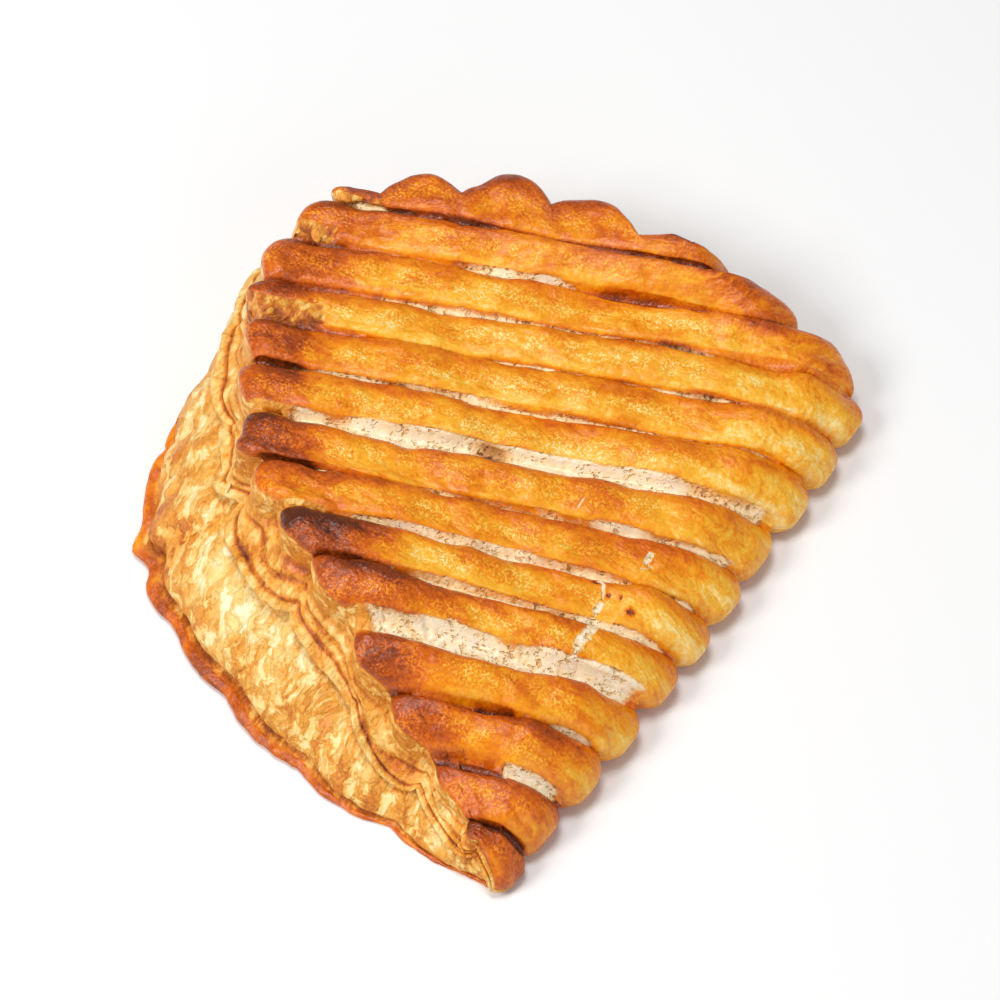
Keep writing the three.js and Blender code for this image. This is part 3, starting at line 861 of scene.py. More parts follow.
@dataclass
class WallSkin:
    """Relief and browning of the side wall, with painted shade in its recesses, by share of the sealed edge
    and by step down the wall.
    """

    edge: SealedEdge
    base_bake: float = 0.36
    tint: Texture = Texture(0.06, 11.0, 2)
    skin: Texture = Texture(0.12, 2.2, 2, 37)
    far_side: Step = Step(0.36, 0.42)

    collar_ends: Step = Step(2.9, 3.3)
    collar_paler: float = 0.04
    inner_sheet_lift: Step = Step(0.2, 0.9, 0.5)
    inner_sheet_ends: Step = Step(1.5, 1.68)
    inner_line: WallLine = WallLine(1.78, 0.26, 0.3, -0.35, Texture(0.5, 14.0, 3))
    second_line: WallLine = WallLine(2.62, 0.2, 0.5, -0.6, Texture(0.3, 20.0, 2, 53))
    # The darker bands under the tips' edge, under the lip and in the two creases are painted shade; those
    # under the tips and the lip are partly browning too
    under_edge: WallLine = WallLine(0.7, 0.5, 0.16, -0.4)
    lip: WallLine = WallLine(3.3, 0.45, -0.04, 0.7)
    lip_shadow_line: WallLine = WallLine(3.85, 0.35, 0.28)
    crease: WallLine = WallLine(4.55, 0.4, 0.26, -0.8)
    pale_band: WallLine = WallLine(5.9, 1.2, -0.08)
    low_crease: WallLine = WallLine(9.0, 0.7, 0.3)
    rungs: Texture = Texture(1.0, 1.3, 2, 29)
    rung_stretch: Triple = (1.0, 0.3, 1.0)
    rungs_at: tuple[Bump, ...] = (Bump(0.625, 0.05), Bump(0.735, 0.045))
    rung_lift: Step = Step(1.0, 1.8, 0.55)
    rung_bake: Step = Step(0.05, 0.5, 0.14)

    bulge_begins: Step = Step(5.0, 5.8)
    bulge_ends: Step = Step(8.6, 9.2)
    layer_height: float = 4.5
    layer_warp: Texture = Texture(1.4, 10.0, 3)
    layer_grows: Step = Step(0.0, 0.85, 0.35)
    layer_ends: Step = Step(0.9, 1.0)
    layer_line: Bump = Bump(0.95, 0.12)
    layer_bake: float = 0.06
    layers_fade: Step = Step(0.6, 0.68, 0.65)
    least_layers: float = 0.35
    smear: Texture = Texture(1.0, 3.4, 3, 31)
    smear_slant: float = 0.7
    smear_stretch: float = 0.35
    smear_lift: float = 0.2
    smear_bake: float = 0.1

    foot_begins: Step = Step(9.2, 9.8)
    foot_relief: Texture = Texture(0.35, 5.0, 2, 41)
    foot_bake: float = 0.12
    left_foot_bake: Step = Step(0.58, 0.64, 0.16)
    foot_glaze: float = 0.6
    base_flat: Step = Step(11.0, 12.0)

    rim_ends: Step = Step(0.0, 1.6)
    rim_bake: float = 0.9
    rim_glaze: float = 0.9
    fold_rim_browner: float = 0.05
    fold_foot_bake: float = 0.6
    fold_browns: Step = Step(2.0, 9.0)
    fold_glaze_ends: Step = Step(6.0, 11.0)

    collar_flakes: Step = Step(0.8, 1.6, 0.3)
    layer_flakes: float = 0.1
    crease_flakes: float = 0.25
    ribs_end: Step = Step(4.0, 5.5)
    patches: tuple[WallPatch, ...] = (
        WallPatch(0.765, 0.9, 0.025, 1.2, 0.2, -0.9, 0.6), WallPatch(0.735, 2.0, 0.02, 1.0, 0.06, -0.2),
        WallPatch(0.905, 1.9, 0.024, 1.2, 0.3, -0.9, 0.5), WallPatch(0.62, 1.6, 0.03, 1.2, 0.04, -0.3),
        WallPatch(0.85, 1.4, 0.02, 1.0, 0.03), WallPatch(0.54, 7.0, 0.05, 3.0, 0.06),
        WallPatch(0.66, 8.2, 0.07, 1.6, 0.26), WallPatch(0.9, 7.0, 0.07, 3.0, 0.06),
        WallPatch(0.74, 6.2, 0.08, 2.6, -0.16), WallPatch(0.655, 7.2, 0.05, 2.0, 0.1),
        WallPatch(0.985, 4.0, 0.03, 6.0, 0.12),
    )

    def dress(self, points: Array, steps: Array, outline: Outline, top_bake: Array) -> Surface:
        """Relief and browning at every point of the wall, with painted shade in its recesses.

        Args:
            points: Points of the wall, of shape (loop, steps, 3).
            steps: The steps' numbers.
            outline: The top's outline.
            top_bake: Browning of the top along its outline.

        Returns:
            The surface, with its relief not yet applied.
        """
        shape = points.shape[:2]
        share = np.broadcast_to(outline.share[:, None], shape)
        sealed = np.broadcast_to(outline.sealed[:, None], shape)
        step = np.broadcast_to(steps[None, :], shape)
        top_bake = top_bake[:, None]
        flat = np.zeros(shape)
        down = np.cumsum(np.linalg.norm(np.diff(points, axis=1, prepend=points[:, :1]), axis=-1), axis=1)
        around = np.cumsum(np.linalg.norm(np.diff(points[:, 0], axis=0, prepend=points[:1, 0]), axis=-1))
        sheet = np.stack([np.broadcast_to(around[:, None], shape), down], axis=-1)
        length = share * self.edge.length
        round_only = np.stack([length, flat, flat], axis=-1)
        place = np.stack([length, down, flat], axis=-1)

        collar = self.collar_ends.down(step)
        bulge = self.bulge_begins.up(step) * self.bulge_ends.down(step)
        foot = self.foot_begins.up(step)
        skin = self.skin.over(points)
        slanted = [length - self.smear_slant * down, self.smear_stretch * (length + down), flat]
        smear = self.smear.over(np.stack(slanted, axis=-1))
        layer = down / self.layer_height + self.layer_warp.over(points)
        fraction = layer - np.floor(layer)
        layered = bulge * (self.least_layers + self.layers_fade.down(share))
        layer_line = layered * self.layer_line.over(fraction)
        rungs = self.rungs.over(place * np.array(self.rung_stretch))
        rungs = rungs * sum(bump.over(share) for bump in self.rungs_at)

        bake = self.base_bake + self.smear_bake * smear + self.tint.over(points)
        bake = bake + self.layer_bake * layer_line + collar * (self.rung_bake.up(-rungs) - self.collar_paler)
        bake = bake + foot * (self.foot_bake + self.left_foot_bake.up(share))
        lift = layered * self.layer_grows.up(fraction) * self.layer_ends.down(fraction)
        lift = lift + self.smear_lift * bulge * smear + collar * rungs * self.rung_lift.up(step)
        lift = lift + skin + foot * self.foot_relief.over(points)
        glaze = self.foot_glaze * foot
        inner = step + self.inner_line.wander.over(round_only)
        lift = lift + self.inner_sheet_lift.up(step) * self.inner_sheet_ends.down(inner)
        # Bands round the wall; the darker ones in its recesses are painted shade
        for line in (self.under_edge, self.lip, self.lip_shadow_line, self.crease, self.pale_band, self.low_crease):
            bake = bake + line.bake * line.over(step)
            lift = lift + line.lift * line.over(step)
        for line in (self.inner_line, self.second_line):
            inside = collar * line.over(step + line.wander.over(round_only))
            bake = bake + line.bake * inside
            lift = lift + line.lift * inside
        for patch in self.patches:
            inside = Bump(patch.share, patch.share_reach).over(share)
            inside = inside * Bump(patch.step, patch.step_reach).over(step)
            bake = bake + patch.bake * inside
            lift = lift + patch.lift * inside
            glaze = glaze + patch.glaze * inside

        far_rim = self.rim_ends.down(step) * self.far_side.down(share)
        bake = lerp(bake, np.maximum(bake, top_bake * self.rim_bake), far_rim)
        glaze = np.maximum(glaze, self.rim_glaze * far_rim)
        folded_bake = lerp(top_bake + self.fold_rim_browner, self.fold_foot_bake, self.fold_browns.up(step))
        flaky = collar * self.collar_flakes.up(step) + self.layer_flakes * layer_line
        flaky = flaky + self.crease_flakes * self.low_crease.over(step)
        fields = {
            Skin.BAKE: np.clip(lerp(folded_bake, bake, sealed), 0.0, 1.0),
            Skin.GLAZE: np.clip(lerp(self.fold_glaze_ends.down(step), glaze, sealed), 0.0, 1.0),
            Skin.FLAKY: np.clip(sealed * flaky, 0.0, 1.0),
            Skin.RIBBED: sealed * self.ribs_end.down(step),
        }
        return Surface(sheet, lerp(skin, lift, sealed) * self.base_flat.down(step), fields)


@dataclass
class Crust:
    """The turnover's crust as one closed mesh: scored top, side wall and base."""

    edge: SealedEdge
    scoring: Scoring
    ridge_height: float = 4.6
    ridge_height_at_tip: float = 3.2
    ridge_roundness_far: float = 2.8
    ridge_roundness_near: float = 4.5
    ridge_grows: float = 0.25
    least_ridge: float = 0.4
    dome_power_far: float = 0.76
    dome_power_near: float = 0.98
    dome_swaps: Step = Step(3.8, 9.8)
    unevenness: float = 0.55
    uneven_waves: tuple[Triple, ...] = ((2.4, 0.09, 1.0), (1.7, -0.17, 0.7))
    rim_lobe_depth: float = 6.5
    rim_lobe_spread: float = 0.3
    tip_bulge: float = 0.85
    tip_fullness: float = 2.0
    tip_lean: float = 0.45
    nose_bulge: float = 0.74
    nose_fullness: float = 3.4
    rim_nose_bulge: float = 1.3
    deep_at_tip: Step = Step(0.02, 0.14)
    tip_radius: float = 3.0
    tip_squareness: float = 3.4
    tip_wrap: float = math.radians(-95.0)
    nose_top: float = 11.8
    nose_length: float = 13.2
    nose_drop: float = 6.9
    nose_wrap: float = math.radians(100.0)
    nose_squareness: float = 1.3
    rim_nose_length: float = 5.0
    rim_nose_drop: float = 2.5
    nose_fall: float = 5.0
    nose_drop_fall: float = 3.0
    nose_fall_strips: float = 3.0
    short_strip: float = 34.0
    wall_steps: tuple[Triple, ...] = (
        (0.0, 0.0, 1.0), (0.06, -0.4, 0.92), (0.16, -0.1, 0.82), (0.26, 1.3, 0.75), (0.28, 1.0, 0.7),
        (0.3, -0.7, 0.665), (0.48, 1.4, 0.55), (0.66, 2.3, 0.4), (0.82, 2.0, 0.22), (0.88, -0.6, 0.095),
        (0.97, 0.6, 0.085), (1.0, 1.0, 0.045), (0.97, 0.4, 0.0),
    )
    collar_lip: float = 3.5
    collar_lip_reach: float = 1.5
    collar_lip_run: float = 0.26
    collar_lip_bulge: float = 1.15
    collar_lip_limits: Span = (0.1, 0.85)
    collar_lip_wave: float = 2.4
    petals_grow: Step = Step(0.41, 0.45)
    petals_end: Step = Step(0.965, 0.985)
    foot_crimp_depth: float = 1.6
    full_wall_height: float = 30.0
    fold_foot_y: float = 2.5
    last_strip_sealed: float = 0.6
    tip_steps: float = 3.0
    body_steps: float = 22.0
    nose_steps: float = 5.0
    samples_across: int = 20
    samples_at_cuts: float = 0.5
    tip_samples: int = 14
    body_samples: int = 136
    nose_samples: int = 24
    wall_samples: tuple[int, ...] = (4, 6, 7, 5, 5, 4, 4, 4, 5, 4, 3, 3)
    middle: Span = (10.52, 55.585)

    @property
    def steps(self) -> float:
        """Steps along a row, from the tip's underside to the nose's."""
        return self.tip_steps + self.body_steps + self.nose_steps

    def places(self) -> Array:
        """Places of the rows across all strips, closer together at the cuts."""
        even = np.arange(self.samples_across) / self.samples_across
        across = even - self.samples_at_cuts * np.sin(2.0 * np.pi * even) / (2.0 * np.pi)
        strips = np.arange(self.scoring.strips)[:, None] + across[None, :]
        return np.append(strips.ravel(), float(self.scoring.strips))

    def columns(self) -> Array:
        """Steps of the columns along a row."""
        body_end = self.tip_steps + self.body_steps
        tip = np.linspace(0.0, self.tip_steps, self.tip_samples, endpoint=False)
        body = np.linspace(self.tip_steps, body_end, self.body_samples, endpoint=False)
        nose = np.linspace(body_end, self.steps, self.nose_samples + 1)
        return np.concatenate([tip, body, nose])

    def across(self, rows: Rows, body: Array) -> Array:
        """Places across the strips between their cuts.

        Args:
            rows: Rows of the top.
            body: Shares of the strips' bodies, of shape (rows, columns).

        Returns:
            -1 at a strip's far edge, 0 along its middle and 1 at its near edge, as also inside the cuts.
        """
        openings = np.array(self.scoring.openings)
        gape = lerp(self.scoring.opening_at_ends, 1.0, np.sin(np.pi * body)) / 2.0 / self.scoring.width
        low = openings[rows.strip][:, None] * gape
        high = 1.0 - openings[rows.strip + 1][:, None] * gape
        return np.clip((2.0 * rows.across[:, None] - low - high) / (high - low), -1.0, 1.0)

    def ridge(self, across: Array) -> Array:
        """Height of the ridges' cross-section: 1 along the middle of a strip and 0 in the cuts."""
        power = np.where(across < 0.0, self.ridge_roundness_far, self.ridge_roundness_near)
        return (1.0 - np.abs(across) ** power) ** (1.0 / power)

    def rim_bow(self, share_along: Array) -> Array:
        """How far the rim strip's crimped outer edge bows out from the line between its ends."""
        left = float(self.scoring.left_shares[0])
        right = float(self.scoring.right_shares[0])
        share = lerp(left, right, share_along)
        ends = self.edge.rim(np.array([left, right]))
        chord = lerp(ends[0], ends[1], share_along[..., None])
        spread = np.clip(np.sin(np.pi * share_along), 0.0, 1.0) ** self.rim_lobe_spread
        lobes = self.rim_lobe_depth * (self.edge.rim_lobe(share) - HALF) * spread
        return self.edge.rim(share) + self.edge.normal(share) * lobes[..., None] - chord

    def top(self, rows: Rows, columns: Array) -> Top:
        """Points of the scored top.

        Args:
            rows: Rows across the strips.
            columns: Steps along the rows.

        Returns:
            The top, with points of shape (rows, columns, 3).
        """
        step = np.broadcast_to(columns[None, :], (len(rows.place), len(columns)))
        length = rows.length[:, None]
        on_fold = rows.on_fold[:, None]
        size = np.minimum(1.0, length / self.short_strip)
        strips = float(self.scoring.strips)
        fall = Step(strips - self.nose_fall_strips, strips).up(rows.place)[:, None]
        nose_drop = lerp(self.rim_nose_drop, self.nose_drop - self.nose_drop_fall * fall, on_fold)
        nose_reach = lerp(self.rim_nose_length, self.nose_length, on_fold) * size
        rim_top = (self.edge.rim_height(rows.right_share) - self.ridge_height_at_tip)[:, None]
        nose_top = lerp(rim_top, self.nose_top - self.nose_fall * fall, on_fold)
        tip_top = (self.edge.rim_height(rows.left_share) - self.ridge_height_at_tip)[:, None]
        tip_radius = self.tip_radius * size
        in_tip = step < self.tip_steps
        in_nose = step > self.tip_steps + self.body_steps
        tip_turn = self.tip_wrap * (1.0 - step / self.tip_steps)
        nose_turn = self.nose_wrap * (1.0 - (self.steps - step) / self.nose_steps)
        turn = np.where(in_tip, tip_turn, np.where(in_nose, nose_turn, 0.0))
        body = np.clip((step - self.tip_steps) / self.body_steps, 0.0, 1.0)
        square = 2.0 / np.where(in_tip, self.tip_squareness, self.nose_squareness)
        sine = np.abs(np.sin(turn)) ** square
        cosine = np.sign(np.cos(turn)) * np.abs(np.cos(turn)) ** square
        along = lerp(tip_radius, length - nose_reach, body)
        along = np.where(in_tip, tip_radius * (1.0 - sine), along)
        along = np.where(in_nose, length - nose_reach * (1.0 - sine), along)
        power = lerp(self.dome_power_far, self.dome_power_near, self.dome_swaps.up(rows.place))[:, None]
        height = lerp(tip_top, nose_top, body**power)
        height = np.where(in_tip, tip_top - tip_radius * (1.0 - cosine), height)
        height = np.where(in_nose, nose_top - nose_drop * (1.0 - cosine), height)

        plan = rows.left[:, None, :] + rows.direction[:, None, :] * along[..., None]
        first = rows.strip == 0
        plan[first] += self.rim_bow((along / length)[first]) * (1.0 - rows.across[first])[:, None, None]
        waves = sum(
            self.unevenness * share * np.sin(per_strip * rows.strip[:, None] + per_mm * along)
            for per_strip, per_mm, share in self.uneven_waves
        )
        grown = np.minimum(1.0, body / self.ridge_grows)
        ridge_height = lerp(self.ridge_height_at_tip, self.ridge_height + waves, grown)
        ridge_height = ridge_height * lerp(self.least_ridge, 1.0, size)
        across = self.across(rows, body)
        depths = np.array(self.scoring.depths)
        depth = lerp(depths[rows.strip], depths[rows.strip + 1], rows.across)[:, None]
        depth = lerp(1.0, depth, self.deep_at_tip.up(body))
        offset = (1.0 - depth * (1.0 - self.ridge(across))) * ridge_height
        at_tip = turn < 0.0
        outward = np.where(at_tip[..., None], rows.left_normal[:, None, :], rows.right_normal[:, None, :])
        small = at_tip | first[:, None]
        swell = np.where(small, self.tip_bulge, lerp(self.rim_nose_bulge, self.nose_bulge, on_fold))
        lean = np.where(at_tip, 1.0 - self.tip_lean * across, 1.0)
        fullness = np.where(small, self.tip_fullness, self.nose_fullness)
        bulge = lean * (1.0 - np.abs(across) ** fullness) * ridge_height * swell
        spread = np.where(in_tip, sine, np.abs(np.sin(turn)))
        level = np.where(in_tip, cosine, np.cos(turn))
        plan = plan + outward * (bulge * spread)[..., None]
        points = np.concatenate([plan, (height + offset * level)[..., None]], axis=-1)
        return Top(points, across, along / length, turn)

    def outline(self, rows: Rows, columns: Array) -> Outline:
        """The outline of the top.

        Args:
            rows: Rows across the strips.
            columns: Steps along the rows.

        Returns:
            The outline along the tips, the last strip, the noses and back along the first strip.
        """
        last_row = len(rows.place) - 1
        last_column = len(columns) - 1
        scoring, normal = self.scoring, self.edge.normal
        strips = float(scoring.strips)
        edge_steps = columns / self.steps
        near_end = lerp(scoring.last_strip_end, 1.0 - scoring.fold_end, edge_steps[:-1])
        far_end = lerp(scoring.left_shares[0], scoring.right_shares[0], edge_steps[:0:-1])
        back = slice(None, 0, -1)
        folded = rows.on_fold * Step(strips - self.last_strip_sealed, strips).down(rows.place)
        fold_share = np.where(rows.place > strips / 2.0, 1.0 - scoring.fold_end, rows.right_share)
        row = np.arange(last_row + 1)
        column = np.arange(last_column + 1)
        side, end = np.zeros(last_row, int), np.zeros(last_column, int)
        normals = [rows.left_normal[:-1], normal(near_end), rows.right_normal[back], normal(far_end)]
        return Outline(
            row=np.concatenate([row[:-1], end + last_row, row[back], end]),
            column=np.concatenate([side, column[:-1], side + last_column, column[back]]),
            share=np.concatenate([rows.left_share[:-1], near_end, fold_share[back], far_end]),
            sealed=np.concatenate([side + 1.0, end + 1.0, 1.0 - folded[back], end + 1.0]),
            normal=np.concatenate(normals),
            fold_x=np.concatenate([side, end, rows.right[back, 0], end]),
        )

    def wall_profile(self) -> tuple[Array, Array]:
        """Finely sampled steps of the side wall.

        Returns:
            Step numbers, and run, bulge and rise at each, from a smooth curve through the steps.
        """
        control = np.array(self.wall_steps)
        parts = [np.arange(n) / n + i for i, n in enumerate(self.wall_samples)]
        step = np.append(np.concatenate(parts), float(len(self.wall_samples)))[1:]
        base = np.minimum(step.astype(int), len(control) - 2)
        t = (step - base)[:, None]
        padded = np.concatenate([control[:1], control, control[-1:]])
        p0, p1, p2, p3 = (padded[base + i] for i in range(4))
        bend = 2 * p0 - 5 * p1 + 4 * p2 - p3 + t * (3 * (p1 - p2) + p3 - p0)
        curve = p1 + HALF * t * (p2 - p0 + t * bend)
        curve[:, 2] = np.maximum(curve[:, 2], 0.0)
        curve[-1, 2] = 0.0
        return step, curve

    def wall(self, top: Array, outline: Outline) -> tuple[Array, Array]:
        """Points of the side wall below the top's outline.

        Args:
            top: The outline's own points, of shape (loop, 3).
            outline: The top's outline.

        Returns:
            Points of shape (loop, steps, 3) and the step numbers.
        """
        step, profile = self.wall_profile()
        even_run, even_bulge, even_rise = profile.T[:, None, :]
        share = outline.share
        sealed = outline.sealed[:, None]
        crimp = self.foot_crimp_depth * (self.edge.foot_lobe(share) - 1.0)
        sealed_foot = self.edge.foot(share) + self.edge.normal(share) * crimp[:, None]
        fold_foot = np.stack([outline.fold_x, np.full(len(share), self.fold_foot_y)], axis=-1)
        foot = lerp(fold_foot, sealed_foot, sealed)
        scale = sealed * np.minimum(1.0, top[:, 2] / self.full_wall_height)[:, None]
        petalled = (self.petals_grow.up(share) * self.petals_end.down(share))[:, None]
        lobes = self.edge.rim_lobe(share + self.edge.rim_crimp_pitch / 2.0)[:, None]
        lip_wave = self.collar_lip_wave * (lobes - HALF) * (1.0 - petalled)
        out_top = ((top[:, :2] - self.edge.rim(share)) * self.edge.normal(share)).sum(axis=1)
        gap = np.linalg.norm(foot - top[:, :2], axis=1)[:, None]
        reach = (self.edge.lip_reach(share) - out_top)[:, None] - self.collar_lip_bulge * scale
        lip_run = lerp(self.collar_lip_run, np.clip(reach / gap, *self.collar_lip_limits), petalled)
        in_collar = even_run / self.collar_lip_run * lip_run
        below = lip_run + (even_run - self.collar_lip_run) / (1.0 - self.collar_lip_run) * (1.0 - lip_run)
        sealed_run = np.where(even_run < self.collar_lip_run, in_collar, below)
        at_lip = np.clip(self.collar_lip_reach - np.abs(step - self.collar_lip), 0.0, 1.0)[None, :]
        turn = (step / len(self.wall_samples) * np.pi / 2.0)[None, :]
        run = lerp(1.0 - np.cos(turn), sealed_run, sealed)
        rise = lerp(1.0 - np.sin(turn), even_rise, sealed)
        out = (even_bulge + at_lip * lip_wave) * scale
        plan = lerp(top[:, None, :2], foot[:, None, :], run[..., None])
        plan = plan + outline.normal[:, None, :] * out[..., None]
        return np.concatenate([plan, (top[:, 2:] * rise)[..., None]], axis=-1), step

    def build(self) -> bpy.types.Object:
        """Makes the crust's mesh object, centred on its base as the solid is.

        Returns:
            The object, with its surface attributes and no material.
        """
        rows = self.scoring.rows(self.places())
        columns = self.columns()
        form = self.top(rows, columns)
        outline = self.outline(rows, columns)
        loop = (outline.row, outline.column)
        wall_points, step = self.wall(form.points[loop], outline)
        top = TopSkin(self.scoring).dress(rows, form)
        wall = WallSkin(self.edge).dress(wall_points, step, outline, top.fields[Skin.BAKE][loop])

        grid = np.arange(top.lift.size).reshape(top.lift.shape)
        ring = grid.size + np.arange(wall.lift.size).reshape(wall.lift.shape)
        sides = np.concatenate([grid[loop][:, None], ring], axis=1)
        sides = np.concatenate([sides, sides[:1]]).T
        quads = np.concatenate([cells(grid).reshape(-1, 4), cells(sides).swapaxes(0, 1).reshape(-1, 4)])
        centre = np.full(len(ring), grid.size + ring.size)
        floor = np.stack([centre, np.roll(ring[:, -1], -1), ring[:, -1]], axis=-1)

        middle = wall_points[:, -1].mean(axis=0)
        points = np.concatenate([form.points.reshape(-1, 3), wall_points.reshape(-1, 3), middle[None, :]])
        points[:, :2] -= np.array(self.middle)
        lift = np.concatenate([top.lift.ravel(), wall.lift.ravel(), [0.0]])
        points = points + self.normals(points, quads) * lift[:, None]
        points[:, 2] = np.maximum(points[:, 2], 0.0)
        fields = {skin: np.concatenate([top.field(skin), wall.field(skin), [0.0]]) for skin in Skin}
        wall_sheet = np.concatenate([wall.sheet[:, :1] * np.array([1.0, 0.0]), wall.sheet], axis=1)
        seam = np.stack([wall_sheet[-1:, :, 0], wall_sheet[:1, :, 1]], axis=-1)
        wall_sheet = np.concatenate([wall_sheet, seam]).swapaxes(0, 1)
        corners = [cells(top.sheet), cells(wall_sheet).swapaxes(0, 1), points[floor][..., :2]]
        sheet = np.concatenate([corner.reshape(-1, 2) for corner in corners])
        return self.mesh_object(points, quads, floor, fields, sheet)

    @staticmethod
    def normals(points: Array, quads: Array) -> Array:
        """Outward directions at the points, averaged from the faces around them."""
        a, b, c, d = (points[quads[:, i]] for i in range(4))
        face = np.cross(c - a, d - b)
        total = np.zeros_like(points)
        for i in range(4):
            np.add.at(total, quads[:, i], face)
        return total / np.maximum(np.linalg.norm(total, axis=1, keepdims=True), TINY)

    @staticmethod
    def mesh_object(
        points: Array, quads: Array, floor: Array, fields: dict[Skin, Array], sheet: Array
    ) -> bpy.types.Object:
        """Turns arrays into an object.

        Args:
            points: Points in millimetres.
            quads: Four-sided faces.
            floor: Triangles of the base.
            fields: Surface attributes, one number for each point.
            sheet: Places on the pastry sheet in millimetres, two numbers for each corner of each face.

        Returns:
            The new object, in metres.
        """
        mesh = bpy.data.meshes.new(CRUST_NAME)
        sizes = np.concatenate([np.full(len(quads), 4), np.full(len(floor), 3)])
        corners = np.concatenate([quads.ravel(), floor.ravel()])
        mesh.vertices.add(len(points))
        mesh.vertices.foreach_set("co", (points * MM).astype(np.float32).ravel())
        mesh.loops.add(len(corners))
        mesh.loops.foreach_set("vertex_index", corners.astype(np.int32))
        mesh.polygons.add(len(sizes))
        mesh.polygons.foreach_set("loop_start", (np.cumsum(sizes) - sizes).astype(np.int32))
        mesh.polygons.foreach_set("use_smooth", np.ones(len(sizes), bool))
        for skin, values in fields.items():
            attribute = mesh.attributes.new(skin.value, "FLOAT", "POINT")
            attribute.data.foreach_set("value", values.astype(np.float32))
        layer = mesh.uv_layers.new(name=SHEET_MAP)
        layer.data.foreach_set("uv", (sheet * MM).astype(np.float32).ravel())
        mesh.update(calc_edges=True)
        mesh.validate()
        piece = bpy.data.objects.new(CRUST_NAME, mesh)
        bpy.context.scene.collection.objects.link(piece)
        return piece


class Value:
    """An output of a node, by name or number. Arithmetic on it adds Math nodes."""

    def __init__(self, tree: "Tree", node: bpy.types.Node, name: Any = 0) -> None:
        """Wraps an output of a node in a tree."""
        self.tree = tree
        self.node = node
        self.name = name

    def out(self, name: Any) -> "Value":
        """Another output of the same node."""
        return Value(self.tree, self.node, name)

    def _math(self, operation: str, first: Any, second: Any) -> "Value":
        """A Math node on two values."""
        return self.tree.node("ShaderNodeMath", {0: first, 1: second}, operation=operation)

    def __add__(self, other: Any) -> "Value":
        """Sum."""
        return self._math("ADD", self, other)

    __radd__ = __add__

    def __sub__(self, other: Any) -> "Value":
        """Difference."""
        return self._math("SUBTRACT", self, other)

    def __rsub__(self, other: Any) -> "Value":
        """Difference from a number."""
        return self._math("SUBTRACT", other, self)

    def __mul__(self, other: Any) -> "Value":
        """Product."""
        return self._math("MULTIPLY", self, other)

    __rmul__ = __mul__

    def off(self, middle: float = HALF) -> "Value":
        """Difference from its middle."""
        return self - middle

    def limited(self) -> "Value":
        """The value held between 0 and 1."""
        return self.tree.node("ShaderNodeClamp", {"Value": self})

    def stepped(self, span: Span) -> "Value":
        """Smooth step from 0 to 1 over a span."""
        sockets = {"Value": self, "From Min": span[0], "From Max": span[1]}
        return self.tree.node("ShaderNodeMapRange", sockets, interpolation_type="SMOOTHSTEP")

    def thread(self, sharpness: float) -> "Value":
        """1 where the value crosses its middle, falling to 0 beside it."""
        off = self.off()
        return 1.0 - (off * off * sharpness).limited()


class Tree:
    """A node tree that nodes are added to, for a material or for geometry."""

    def __init__(self, tree: bpy.types.NodeTree) -> None:
        """Wraps a node tree."""
        self.tree = tree

    def node(self, kind: str, sockets: dict[Any, Any], stops: Stops = (), **settings: Any) -> Value:
        """Adds a node.

        Args:
            kind: The node's type.
            sockets: Numbers, or values to link, for its input sockets by name or number.
            stops: Places and colours for a colour ramp.
            settings: Properties that are set before the sockets.

        Returns:
            The node's first output.
        """
        node = self.tree.nodes.new(kind)
        for name, setting in settings.items():
            setattr(node, name, setting)
        for _ in stops[2:]:
            node.color_ramp.elements.new(1.0)
        for number, (place, colour) in enumerate(stops):
            node.color_ramp.elements[number].position = place
            node.color_ramp.elements[number].color = linear(colour)
        for name, given in sockets.items():
            if isinstance(given, Value):
                self.tree.links.new(given.node.outputs[given.name], node.inputs[name])
            else:
                node.inputs[name].default_value = given
        return Value(self, node)


@dataclass(frozen=True)
class Pattern:
    """A noise: scale in a metre, detail, roughness, stretch and slant, edges, and weights in the looks."""

    scale: float
    detail: float
    roughness: float = 0.5
    stretch: Triple | None = None
    slant: float = 0.0
    edges: Span | None = None
    tint: float = 0.0
    bump: float = 0.0


